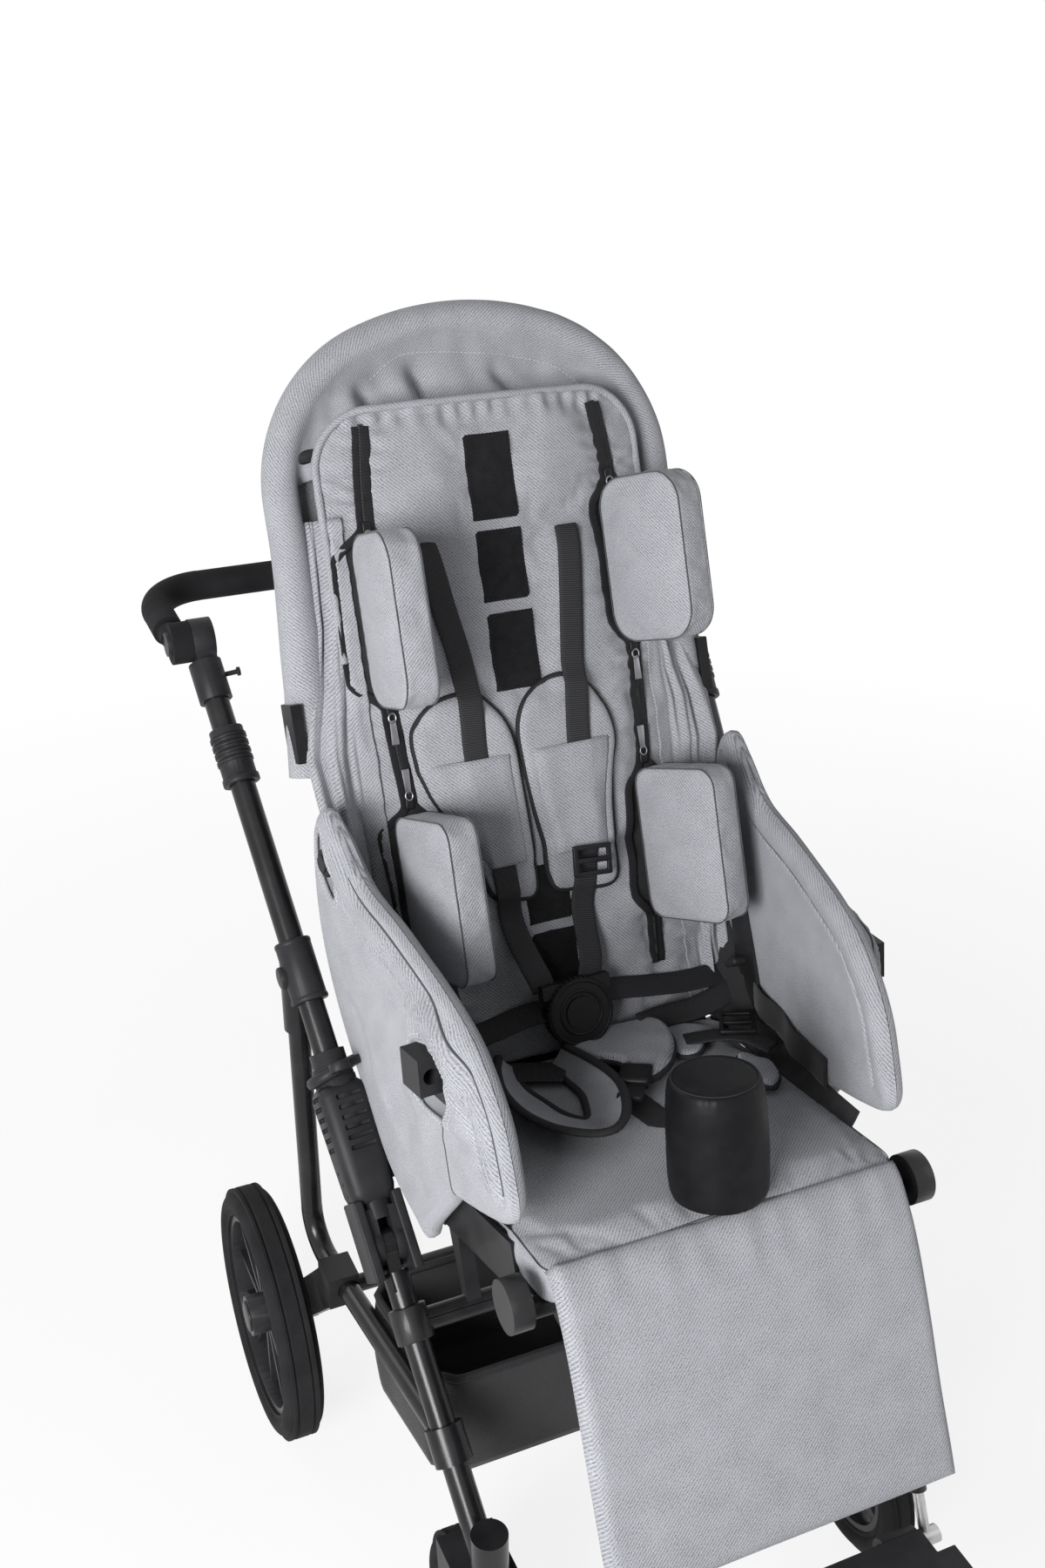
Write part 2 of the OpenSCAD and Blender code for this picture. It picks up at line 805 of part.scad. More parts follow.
module back_shell() {
    shell_half = corner_x + corner_r - 14.6;
    color("gray") at_back() translate([0, -hoop_n + hoop_r + gap + 3, 0]) rotate([90, 0, 0])
        linear_extrude(3) {
            translate([-shell_half, 6]) square([2 * shell_half, corner_l - 6]);
            intersection() {
                translate([-corner_x, corner_l]) circle(r = corner_r - 14.6);
                translate([-400, 0]) square([400 - corner_x + 40, 1000]);
            }
            intersection() {
                translate([corner_x, corner_l]) circle(r = corner_r - 14.6);
                translate([corner_x - 40, 0]) square([400, 1000]);
            }
            intersection() {
                translate([0, crest_l]) circle(r = crest_r - 14.6);
                translate([-90, corner_l]) square([180, 400]);
            }
        }
}

// Long round surface that crowns the back cushion, raised by up.
module back_skin(up) {
    translate([0, back_crown, 0]) cylinder(r = back_crown + up, h = 800, $fn = crown_fn);
}

module back_pad() {
    round_r = 55;
    color("lightgray") at_back() difference() {
        intersection() {
            translate([0, 38, 0]) rotate([90, 0, 0]) linear_extrude(60) {
                translate([-pad_half, 12]) square([pad_width, pad_height - round_r - 12]);
                translate([-pad_half + round_r, 12]) square([pad_width - 2 * round_r, pad_height - 12]);
                for (s = [-1, 1])
                    translate([s * (pad_half - round_r), pad_height - round_r]) circle(r = round_r);
            }
            back_skin(0);
        }
        for (s = [-1, 1])
            translate([s * rail_x - 6, -20, 70]) cube([12, 100, 540]);
        for (s = [-1, 1])
            translate([s * rail_x - 9, 6.5, 70]) cube([18, 4, 540]);
        for (s = [-1, 1])
            translate([s * rail_x - 13, 36, 70]) cube([26, 10, 540]);
        translate([0, 0.5, 452]) bar_x(-100, 100, 1.5);
        translate([0, 0.5, 534]) bar_x(-100, 100, 1.5);
    }
}

// Padded block of a side support, crowned both ways on both faces.
module support_pad(tall) {
    intersection() {
        translate([-support_t, -support_depth + 14, -tall / 2 + 14])
            rotate([0, 90, 0]) mirror([1, 0, 0]) linear_extrude(support_t) {
                translate([-14, 0]) square([tall, support_depth - 28]);
                translate([0, -14]) square([tall - 28, support_depth]);
                for (a = [0, tall - 28], b = [0, support_depth - 28])
                    translate([a, b]) circle(r = 14);
            }
        translate([-support_crown, -support_depth / 2, -tall])
            cylinder(r = support_crown, h = 2 * tall, $fn = crown_fn);
        translate([support_crown - support_t, -support_depth / 2, -tall])
            cylinder(r = support_crown, h = 2 * tall, $fn = crown_fn);
    }
}

// Side support at height l, built on the right with the set of side s: pad, stem and clamp on the rail.
module side_support(l, tall, s) {
    toe = support_toe[s];
    stem_n = support_n - (rail_x - support_in[s]) * tan(toe) + 8;
    at_back() translate([0, 0, l]) {
        translate([-support_in[s], -support_n, 0]) rotate([0, 0, -toe]) support_pad(tall);
        difference() {
            union() {
                translate([-rail_x - 12, -rail_n - 9.5, -14]) cube([24, 19, 28]);
                translate([-rail_x - 4, -stem_n, -11]) cube([8, stem_n - rail_n - 6, 22]);
            }
            translate([-rail_x, -rail_n, -20]) cylinder(r = rail_r + run, h = 40);
        }
    }
}

module head_support_right() {
    color("silver") side_support(head_l[0], 158, 0);
}

module head_support_left() {
    color("silver") left() side_support(head_l[1], 158, 1);
}

module trunk_support_right() {
    color("silver") side_support(trunk_l, 152, 0);
}

module trunk_support_left() {
    color("silver") left() side_support(trunk_l, 152, 1);
}

// Piece that follows the front of the back cushion between two heights.
module on_pad(low, high) {
    intersection() {
        translate([0, 30, 0]) rotate([90, 0, 0]) linear_extrude(80) children();
        difference() {
            back_skin(high);
            translate([0, 0, -1]) back_skin(low);
        }
    }
}

// Outline of the shoulder pad on the right.
module shoulder_outline() {
    polygon(smooth([[-7, 174], [-62, 172], [-80, 250], [-94, 330], [-80, 368], [-52, 384], [-22, 368],
                    [-6, 330], [-5, 250]], 4));
}

module shoulder_pads() {
    color("gray") at_back() on_pad(gap, 9) {
        shoulder_outline();
        left() shoulder_outline();
    }
}

// Outline of a shoulder strap on the right between two heights.
module strap_outline(l0, l1) {
    polygon([[-14 - 0.094 * l0 - 4, l0], [-14 - 0.094 * l0 + 21, l0], [-14 - 0.094 * l1 + 21, l1],
             [-14 - 0.094 * l1 - 4, l1]]);
}

module harness_straps() {
    color("black") at_back() {
        on_pad(9 + gap, 11.3) {
            strap_outline(112, 540);
            left() strap_outline(112, 540);
        }
        on_pad(gap, 10) {
            strap_outline(520, 540);
            left() strap_outline(520, 540);
        }
    }
}

module canopy_clip_right() {
    clip_x = -corner_x - corner_r - roll_r - gap;
    color("black") at_back() translate([clip_x - 11, -hoop_n - 24, 338]) cube([11, 36, 56]);
}

module canopy_clip_left() {
    left() canopy_clip_right();
}

// Side bar and knuckle of the legrest on the right.
module legrest_side() {
    translate([-140, 0, 0]) bar_y(-240, 0, 8);
    bar_x(-149, -133, 13);
}

module legrest_frame() {
    color("dimgray") at_legrest() difference() {
        union() {
            legrest_side();
            left() legrest_side();
            translate([0, -205, 0]) bar_x(-140, 140, 7);
        }
        for (x = [-140, 140])
            translate([x, 0, 0]) bar_y(-260, -110, 5 + run);
        bar_x(-170, 170, 6 + run);
    }
}

module calf_cushion() {
    color("lightgray") at_legrest() intersection() {
        translate([0, -32 - calf_length, 8 + gap]) linear_extrude(24) {
            translate([-165, 20]) square([330, calf_length - 20]);
            translate([-145, 0]) square([290, calf_length]);
            for (x = [-145, 145])
                translate([x, 20]) circle(r = 20);
        }
        translate([0, -130, 30 - seat_crown]) bar_y(-400, 400, seat_crown, $fn = crown_fn);
    }
}

module foot_slider() {
    color("silver") at_legrest() {
        for (x = [-140, 140])
            translate([x, 0, 0]) bar_y(-284, -120, 5);
        translate([0, -284, 0]) bar_x(-152, 152, 8);
    }
}

module footplate() {
    color("dimgray") difference() {
        at_legrest() translate([0, -284, 0]) union() {
            for (x = [-112, 112])
                bar_x(x - 18, x + 18, 14);
            rotate([-leg_drop + seat_tilt, 0, 0]) {
                translate([-150, -foot_depth, 6]) cube([300, foot_depth - 26, 9]);
                translate([-132, -foot_depth, 6]) cube([264, foot_depth, 9]);
            }
        }
        at_legrest() translate([0, -284, 0]) bar_x(-200, 200, 8 + run);
    }
}

front_leg_right();
front_leg_left();
rear_leg_right();
rear_leg_left();
rear_axle();
seat_cross_tube();
basket();
brake_pedal();
rear_wheel_right();
rear_wheel_left();
rear_tyre_right();
rear_tyre_left();
caster_fork_right();
caster_fork_left();
front_wheel_right();
front_wheel_left();
front_tyre_right();
front_tyre_left();
push_tube_right();
push_tube_left();
fold_housing_right();
fold_housing_left();
leg_sleeve_right();
leg_sleeve_left();
handle_socket_right();
handle_socket_left();
lock_ring_right();
lock_ring_left();
release_slider_right();
release_slider_left();
handle_bar();
hinge_button_right();
hinge_button_left();
seat_frame();
seat_cushion();
wing_right();
wing_left();
bumper_socket_right();
bumper_socket_left();
lap_harness();
buckle();
buckle_button();
pommel();
back_frame();
back_roll();
back_shell();
back_pad();
head_support_right();
head_support_left();
trunk_support_right();
trunk_support_left();
shoulder_pads();
harness_straps();
canopy_clip_right();
canopy_clip_left();
legrest_frame();
calf_cushion();
foot_slider();
footplate();
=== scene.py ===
"""Special needs buggy: finishes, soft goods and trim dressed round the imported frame, in metres."""

import logging
import math
from collections.abc import Callable, Sequence
from dataclasses import dataclass, field
from enum import Enum

import bpy
import numpy as np
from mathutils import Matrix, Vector
from mathutils.bvhtree import BVHTree


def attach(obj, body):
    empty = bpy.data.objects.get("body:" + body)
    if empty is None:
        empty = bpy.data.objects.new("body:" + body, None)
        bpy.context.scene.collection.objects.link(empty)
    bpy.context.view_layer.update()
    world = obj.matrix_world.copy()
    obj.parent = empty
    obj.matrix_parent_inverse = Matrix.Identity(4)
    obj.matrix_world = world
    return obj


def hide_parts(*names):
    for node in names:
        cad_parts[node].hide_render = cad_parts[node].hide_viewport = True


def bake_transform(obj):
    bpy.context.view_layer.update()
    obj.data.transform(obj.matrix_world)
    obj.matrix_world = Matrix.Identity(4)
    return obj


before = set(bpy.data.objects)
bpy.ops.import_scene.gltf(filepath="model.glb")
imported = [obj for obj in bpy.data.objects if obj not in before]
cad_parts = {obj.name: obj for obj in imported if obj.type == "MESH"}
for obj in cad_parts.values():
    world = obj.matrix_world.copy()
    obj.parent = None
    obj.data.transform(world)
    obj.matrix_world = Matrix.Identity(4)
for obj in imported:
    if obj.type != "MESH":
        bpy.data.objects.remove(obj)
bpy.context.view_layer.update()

LOG = logging.getLogger("buggy")
WEAVE = "weave"
HELD = "held"
MERGE = 1e-5
RAY_START = 0.3
WHITE = (1.0, 1.0, 1.0, 1.0)
WELD_REACH = 2e-5
EDGE_WIDTH = 0.0012
EDGE_ANGLE = math.radians(50)
Colour = tuple[float, float, float]
Spot = tuple[float, float, float]
Line = tuple[tuple[float, float], ...]
Block = tuple[Spot, Spot]
Points = np.ndarray
Piece = bpy.types.Object


class Side(Enum):
    """A side of the child in the seat, with the sign of its X."""

    RIGHT = -1
    LEFT = 1

    @property
    def word(self) -> str:
        """The side's name as it ends the names of nodes and bodies."""
        return self.name.lower()


@dataclass(frozen=True)
class Place:
    """A local frame of the buggy: an origin and three unit directions."""

    origin: tuple[float, ...]
    across: tuple[float, ...]
    along: tuple[float, ...]
    out: tuple[float, ...]

    @property
    def axes(self) -> Points:
        """The three directions as rows."""
        return np.array([self.across, self.along, self.out])

    def at(self, points: Sequence[float] | Points) -> Points:
        """Points of the buggy for local points, whose last axis is across, along and out."""
        return np.array(self.origin) + np.asarray(points, float) @ self.axes

    def turn(self, direction: Sequence[float]) -> Points:
        """A local direction in the buggy's frame."""
        return np.asarray(direction, float) @ self.axes

    def local(self, points: Points) -> Points:
        """Points of the buggy as local points."""
        return (points - np.array(self.origin)) @ self.axes.T

    def moved(self, point: Sequence[float]) -> "Place":
        """The same directions from another local origin."""
        return Place(tuple(self.at(point)), self.across, self.along, self.out)

    def outside(self, spot: Sequence[float] = (0, 0, 0)) -> "Place":
        """Frame at a local spot that looks the other way from across."""
        return Place(tuple(self.at(spot)), self.along, self.out, tuple(-np.array(self.across)))

    def turned(self, spot: Sequence[float], degrees: float) -> "Place":
        """The frame at a local spot, turned in its own face."""
        c, s = math.cos(math.radians(degrees)), math.sin(math.radians(degrees))
        across, along = self.turn((c, s, 0)), self.turn((-s, c, 0))
        return Place(tuple(self.at(spot)), tuple(across), tuple(along), self.out)

    def mirrored(self) -> "Place":
        """The frame on the other side of the buggy."""
        flip = [tuple(np.array(v) * (-1, 1, 1)) for v in (self.origin, self.across, self.along, self.out)]
        return Place(*flip)

    def on(self, side: Side) -> "Place":
        """The frame itself on the right side and its mirror image on the left."""
        return self if side is Side.RIGHT else self.mirrored()


def tilted(origin: Sequence[float], degrees: float, upright: bool) -> Place:
    """Frame of a surface that is turned about the buggy's X axis.

    Args:
        origin: A point of the surface.
        degrees: Tilt of the seat above level, or recline of the back from upright.
        upright: True for the back, whose length runs up, False for the seat, whose length runs forward.

    Returns:
        The frame with X across, the length along and the surface's front out.
    """
    c, s = math.cos(math.radians(degrees)), math.sin(math.radians(degrees))
    along, out = ((0, s, c), (0, -c, s)) if upright else ((0, -c, s), (0, s, c))
    return Place(tuple(origin), (1.0, 0.0, 0.0), along, out)


HEAD_HEIGHTS = {Side.RIGHT: 0.462, Side.LEFT: 0.484}
JUNCTION = (0.0, 0.05, 0.5)
SEAT = tilted(JUNCTION, 9.6, upright=False)
BACK = tilted(JUNCTION, 19.7, upright=True)
WING_YAW = math.radians(5.71)
WING = Place(
    tuple(SEAT.at((-0.22, 0.0, 0.0))),
    tuple(SEAT.turn((math.cos(WING_YAW), -math.sin(WING_YAW), 0.0))),
    tuple(SEAT.turn((math.sin(WING_YAW), math.cos(WING_YAW), 0.0))),
    tuple(SEAT.out),
)


class Value:
    """A shader value that adds Math nodes when it is used in an expression."""

    def __init__(self, tree: "ShaderTree", socket: bpy.types.NodeSocket) -> None:
        """Wrap one output socket of a shader tree."""
        self.tree = tree
        self.socket = socket

    def _math(self, operation: str, *others: "Value | float") -> "Value":
        """Math node of this value and others, in that order."""
        return self.tree.node("ShaderNodeMath", {"operation": operation}, dict(enumerate((self, *others))))

    def _swapped(self, operation: str, first: float) -> "Value":
        """Math node of a number and this value, the number first."""
        return self.tree.node("ShaderNodeMath", {"operation": operation}, {0: first, 1: self})

    def __add__(self, other: "Value | float") -> "Value":
        """Sum with a value or a number."""
        return self._math("ADD", other)

    def __radd__(self, other: float) -> "Value":
        """Sum with a number on the left."""
        return self._swapped("ADD", other)

    def __sub__(self, other: "Value | float") -> "Value":
        """Difference with a value or a number."""
        return self._math("SUBTRACT", other)

    def __rsub__(self, other: float) -> "Value":
        """A number less this value."""
        return self._swapped("SUBTRACT", other)

    def __mul__(self, other: "Value | float") -> "Value":
        """Product with a value or a number."""
        return self._math("MULTIPLY", other)

    def __rmul__(self, other: float) -> "Value":
        """Product with a number on the left."""
        return self._swapped("MULTIPLY", other)

    def wave(self, period: float) -> "Value":
        """Sine of the value with that period, from 0 to 1."""
        return (self * (math.tau / period))._math("SINE") * 0.5 + 0.5

    def other(self, name: str) -> "Value":
        """Another output of the same node."""
        return Value(self.tree, self.socket.node.outputs[name])


class ShaderTree:
    """Node tree of a material or a world."""

    def __init__(self, owner: bpy.types.Material | bpy.types.World) -> None:
        """Empty the owner's tree."""
        owner.use_nodes = True
        self.owner = owner
        self.nodes = owner.node_tree.nodes
        self.links = owner.node_tree.links
        self.nodes.clear()

    def node(self, kind: str, settings: dict | None = None, sockets: dict | None = None) -> Value:
        """Add a node.

        Args:
            kind: Type of the node.
            settings: Attributes to set first. "stops" holds a ramp's places and colours.
            sockets: Values or links of its inputs, by name or number.

        Returns:
            Its first output.
        """
        made = self.nodes.new(kind)
        for name, value in (settings or {}).items():
            if name != "stops":
                setattr(made, name, value)
                continue
            while len(made.color_ramp.elements) < len(value):
                made.color_ramp.elements.new(0.5)
            for element, (place, colour) in zip(made.color_ramp.elements, value):
                element.position = place
                element.color = (*colour, 1.0)
        for name, value in (sockets or {}).items():
            if isinstance(value, Value):
                self.links.new(value.socket, made.inputs[name])
            else:
                made.inputs[name].default_value = value
        return Value(self, made.outputs[0]) if made.outputs else None

    def noise(self, where: Value, scale: float, detail: float = 2.0) -> Value:
        """Noise from 0 to 1 with that many blotches a metre."""
        return self.node("ShaderNodeTexNoise", None, {"Vector": where, "Scale": scale, "Detail": detail})

    def ramp(self, amount: Value, *stops: tuple[float, Colour]) -> Value:
        """Colour that runs through the stops as the amount grows."""
        return self.node("ShaderNodeValToRGB", {"stops": stops}, {"Fac": amount})

    def bump(self, height: Value, strength: float, distance: float) -> Value:
        """Surface normal that follows a height."""
        sockets = {"Height": height, "Strength": strength, "Distance": distance}
        return self.node("ShaderNodeBump", None, sockets)

    def split_weave(self) -> tuple[Value, Value, Value]:
        """The weave map as a vector, and its across and along values in metres."""
        cloth = self.node("ShaderNodeUVMap", {"uv_map": WEAVE})
        across = self.node("ShaderNodeSeparateXYZ", None, {"Vector": cloth})
        return cloth, across, across.other("Y")

    def place(self) -> Value:
        """Object coordinates, in metres."""
        return self.node("ShaderNodeTexCoord").other("Object")

    def seen(self) -> Value:
        """1 for rays of the camera and for those past a reflection or a clear piece, else 0."""
        path = self.node("ShaderNodeLightPath")
        return path + path.other("Is Glossy Ray") + path.other("Is Transmission Ray")

    def surface(self, sockets: dict) -> None:
        """End the tree in a principled surface with these socket values or links."""
        shader = self.node("ShaderNodeBsdfPrincipled", None, sockets)
        self.node("ShaderNodeOutputMaterial", None, {"Surface": shader})


def scaled(colour: Colour, gain: float, lift: float = 0.0) -> Colour:
    """A colour times a gain, plus a lift."""
    return tuple(gain * part + lift for part in colour)


@dataclass(frozen=True)
class Finish:
    """A surface finish that makes its material once."""

    name: str

    def paint(self, tree: ShaderTree) -> None:
        """Fill the tree of the finish."""
        raise NotImplementedError

    def material(self) -> bpy.types.Material:
        """The finish's material, made at its first use."""
        found = bpy.data.materials.get(self.name)
        if found is None:
            found = bpy.data.materials.new(self.name)
            self.paint(ShaderTree(found))
        return found


@dataclass(frozen=True)
class Twill(Finish):
    """Melange twill over foam: diagonal ribs of light and dark yarn."""

    light: Colour = (0.46, 0.468, 0.5)
    dark: Colour = (0.085, 0.088, 0.1)
    pitch: float = 0.0036

    def paint(self, tree: ShaderTree) -> None:
        """Diagonal ribs, broken into yarns, with mottled dye."""
        cloth, u, v = tree.split_weave()
        drift = tree.noise(cloth, 220.0) * (0.5 * self.pitch)
        rib = (u + v + drift).wave(self.pitch)
        yarn = (u - v + drift).wave(0.6 * self.pitch)
        dye = tree.noise(cloth, 650.0, 3.0)
        cloud = tree.noise(cloth, 35.0)
        tone = rib * 0.26 + yarn * 0.16 + dye * 0.72 + cloud * 0.16 - 0.15
        middle = tuple(0.62 * a + 0.38 * b for a, b in zip(self.light, self.dark))
        colour = tree.ramp(tone, (0.18, self.dark), (0.5, middle), (0.85, self.light))
        height = rib * 0.6 + yarn * 0.25 + dye * 0.3
        tree.surface({
            "Base Color": colour,
            "Roughness": 0.78 + 0.14 * dye,
            "Specular IOR Level": 0.25,
            "Sheen Weight": 0.12,
            "Sheen Roughness": 0.5,
            "Normal": tree.bump(height, 0.55, 0.0005),
        })


@dataclass(frozen=True)
class Webbing(Finish):
    """Ribbed webbing: ribs across the strap, split by fine yarns along it."""

    light: Colour = (0.05, 0.049, 0.053)
    dark: Colour = (0.006, 0.006, 0.007)
    rib: float = 0.0021

    def paint(self, tree: ShaderTree) -> None:
        """Cross ribs split by fine warp yarns."""
        cloth, u, v = tree.split_weave()
        ribs = (v + tree.noise(cloth, 150.0) * 0.0005).wave(self.rib)
        warp = u.wave(0.0013)
        dust = tree.noise(cloth, 900.0)
        tone = ribs * 0.55 + warp * 0.2 + dust * 0.3
        tree.surface({
            "Base Color": tree.ramp(tone, (0.2, self.dark), (0.95, self.light)),
            "Roughness": 0.55 + 0.2 * dust,
            "Specular IOR Level": 0.2,
            "Normal": tree.bump(ribs * 0.7 + warp * 0.2, 0.8, 0.0005),
        })


@dataclass(frozen=True)
class Pile(Finish):
    """Loop pile of hook-and-loop tape."""

    light: Colour = (0.024, 0.024, 0.026)
    dark: Colour = (0.004, 0.004, 0.005)

    def paint(self, tree: ShaderTree) -> None:
        """Fuzzy loops with a slight lie."""
        cloth = tree.split_weave()[0]
        fuzz = tree.noise(cloth, 1600.0, 4.0)
        lie = tree.noise(cloth, 90.0)
        tree.surface({
            "Base Color": tree.ramp(fuzz * 0.7 + lie * 0.3, (0.3, self.dark), (0.75, self.light)),
            "Roughness": 0.95,
            "Specular IOR Level": 0.1,
            "Sheen Weight": 0.06,
            "Normal": tree.bump(fuzz, 0.9, 0.0008),
        })


@dataclass(frozen=True)
class Plastic(Finish):
    """Moulded plastic with a fine spark-eroded grain and scuffs."""

    colour: Colour = (0.04, 0.04, 0.043)
    roughness: float = 0.42
    grain: float = 2200.0
    depth: float = 0.00008

    def paint(self, tree: ShaderTree) -> None:
        """Grain in the normal, and handling marks in colour and gloss."""
        where = tree.place()
        grain = tree.noise(where, self.grain)
        marks = tree.noise(where, 45.0, 4.0)
        worn = scaled(self.colour, 1.4, 0.003)
        tree.surface({
            "Base Color": tree.ramp(marks * 0.8 + grain * 0.2, (0.35, self.colour), (0.75, worn)),
            "Roughness": self.roughness - 0.08 + 0.16 * marks,
            "Specular IOR Level": 0.16,
            "Normal": tree.bump(grain, 0.5, self.depth),
        })


@dataclass(frozen=True)
class Enamel(Finish):
    """Gloss paint on tube, with slight orange peel."""

    colour: Colour = (0.007, 0.007, 0.008)
    roughness: float = 0.2

    def paint(self, tree: ShaderTree) -> None:
        """Orange peel in the normal and dust in the gloss."""
        where = tree.place()
        peel = tree.noise(where, 380.0)
        dust = tree.noise(where, 30.0, 5.0)
        worn = scaled(self.colour, 1.8, 0.004)
        tree.surface({
            "Base Color": tree.ramp(dust, (0.45, self.colour), (0.8, worn)),
            "Roughness": self.roughness + 0.18 * dust,
            "Specular IOR Level": 0.25,
            "Coat Weight": 0.1,
            "Coat Roughness": 0.12,
            "Normal": tree.bump(peel, 0.12, 0.0003),
        })


@dataclass(frozen=True)
class Foam(Finish):
    """Closed-cell foam or rubber: matte with pores."""

    colour: Colour = (0.009, 0.009, 0.01)
    pore: float = 1500.0
    roughness: float = 0.72

    def paint(self, tree: ShaderTree) -> None:
        """Pores in the normal and a dusty bloom in the colour."""
        where = tree.place()
        pores = tree.noise(where, self.pore, 3.0)
        bloom = tree.noise(where, 25.0, 3.0)
        dusty = scaled(self.colour, 1.7, 0.003)
        tree.surface({
            "Base Color": tree.ramp(bloom * 0.7 + pores * 0.3, (0.35, self.colour), (0.7, dusty)),
            "Roughness": self.roughness + 0.18 * pores,
            "Specular IOR Level": 0.12,
            "Normal": tree.bump(pores, 0.6, 0.0003),
        })


@dataclass(frozen=True)
class Leatherette(Finish):
    """Smooth coated cloth with a pebbled grain."""

    colour: Colour = (0.006, 0.006, 0.007)

    def paint(self, tree: ShaderTree) -> None:
        """Pebbles, fine creases and a soft gloss."""
        where = tree.place()
        pebble = tree.node("ShaderNodeTexVoronoi", {"feature": "F1"}, {"Vector": where, "Scale": 900.0})
        crease = tree.noise(where, 70.0, 5.0)
        worn = scaled(self.colour, 1.4, 0.001)
        tree.surface({
            "Base Color": tree.ramp(crease, (0.4, self.colour), (0.75, worn)),
            "Roughness": 0.4 + 0.1 * crease,
            "Specular IOR Level": 0.1,
            "Normal": tree.bump(pebble * 0.4 + crease * 0.5, 0.2, 0.0002),
        })


@dataclass(frozen=True)
class Metal(Finish):
    """Plain metal with fine brushing."""

    colour: Colour = (0.55, 0.55, 0.56)
    roughness: float = 0.3

    def paint(self, tree: ShaderTree) -> None:
        """Brushed noise in the gloss."""
        brush = tree.noise(tree.place(), 1300.0)
        stain = tree.noise(tree.place(), 60.0, 3.0)
        dull = scaled(self.colour, 0.72)
        tree.surface({
            "Base Color": tree.ramp(stain, (0.3, dull), (0.7, self.colour)),
            "Metallic": 1.0,
            "Roughness": self.roughness - 0.05 + 0.14 * brush,
        })


GREY_TWILL = Twill("grey_twill")
GREY_THREAD = Twill("grey_thread", (0.66, 0.665, 0.69), (0.4, 0.405, 0.42), 0.0011)
# Dark twill of the cords that paint the shadow in sewn seam grooves.
SEAM_SHADE = Twill("seam_shade", (0.1, 0.101, 0.11), (0.03, 0.031, 0.034), 0.0012)
BLACK_TWILL = Twill("black_twill", (0.03, 0.03, 0.032), (0.005, 0.005, 0.006), 0.002)
BLACK_WEBBING = Webbing("black_webbing")
BLACK_BINDING = Webbing("black_binding", (0.036, 0.035, 0.038), (0.006, 0.006, 0.007), 0.0016)
BLACK_PILE = Pile("black_pile")
ZIP_TAPE = Webbing("zip_tape", (0.026, 0.026, 0.028), (0.005, 0.005, 0.006), 0.0011)
ZIP_COIL = Plastic("zip_coil", (0.01, 0.01, 0.011), 0.35)
CHARCOAL = Plastic("charcoal_plastic", (0.016, 0.016, 0.018), 0.44)
BLACK_PLASTIC = Plastic("black_plastic", (0.007, 0.007, 0.008), 0.38)
RIM_PLASTIC = Plastic("rim_plastic", (0.018, 0.018, 0.02), 0.36)
TUBE_ENAMEL = Enamel("tube_enamel")
SATIN_ENAMEL = Enamel("satin_enamel", (0.011, 0.011, 0.012), 0.36)
GRIP_FOAM = Foam("grip_foam")
TYRE_RUBBER = Foam("tyre_rubber", (0.013, 0.013, 0.014), 500.0, 0.78)
POMMEL_COVER = Leatherette("black_leatherette")
STEEL = Metal("steel")
GUNMETAL = Metal("gunmetal", (0.25, 0.25, 0.27), 0.35)
BRAKE_RED = Plastic("brake_red", (0.3, 0.018, 0.015), 0.4)


def both(*kinds: str) -> tuple[str, ...]:
    """Names of the right and the left node of each kind."""
    return tuple(f"{kind}_{side.word}" for kind in kinds for side in Side)


NODE_FINISHES: dict[Finish, tuple[str, ...]] = {
    TUBE_ENAMEL: both("front_leg", "rear_leg", "push_tube"),
    SATIN_ENAMEL: ("rear_axle", "seat_cross_tube", "seat_frame", "back_frame", "legrest_frame"),
    CHARCOAL: (*both("fold_housing", "leg_sleeve", "handle_socket", "lock_ring", "release_slider",
                     "hinge_button", "bumper_socket", "caster_fork"), "footplate"),
    BLACK_PLASTIC: (*both("canopy_clip"), "buckle", "buckle_button"),
    RIM_PLASTIC: both("rear_wheel", "front_wheel"),
    TYRE_RUBBER: both("rear_tyre", "front_tyre"),
    GRIP_FOAM: ("handle_bar",),
    STEEL: ("foot_slider",),
    BRAKE_RED: ("brake_pedal",),
}
SOFT_EDGED = (CHARCOAL, BLACK_PLASTIC, RIM_PLASTIC, SATIN_ENAMEL)


def select_only(piece: Piece) -> None:
    """Make one object the only selected and active one."""
    bpy.ops.object.select_all(action="DESELECT")
    piece.select_set(True)
    bpy.context.view_layer.objects.active = piece


def apply_modifier(piece: Piece, kind: str, **settings: object) -> None:
    """Add a modifier with these settings to a piece and apply it."""
    select_only(piece)
    made = piece.modifiers.new(kind.lower(), kind)
    for name, value in settings.items():
        setattr(made, name, value)
    bpy.ops.object.modifier_apply(modifier=made.name)


def tidy_mesh(piece: Piece) -> None:
    """Merge a closed piece's doubles, turn its faces outwards and shade it smooth."""
    select_only(piece)
    bpy.ops.object.mode_set(mode="EDIT")
    bpy.ops.mesh.select_all(action="SELECT")
    bpy.ops.mesh.remove_doubles(threshold=MERGE)
    bpy.ops.mesh.normals_make_consistent(inside=False)
    bpy.ops.object.mode_set(mode="OBJECT")
    bpy.ops.object.shade_smooth()


def coordinates(piece: Piece) -> Points:
    """A piece's vertices as an array."""
    found = np.empty(len(piece.data.vertices) * 3)
    piece.data.vertices.foreach_get("co", found)
    return found.reshape(-1, 3)


def set_coordinates(piece: Piece, points: Points) -> None:
    """Move a piece's vertices to these points."""
    piece.data.vertices.foreach_set("co", np.ascontiguousarray(points, float).ravel())
    piece.data.update()


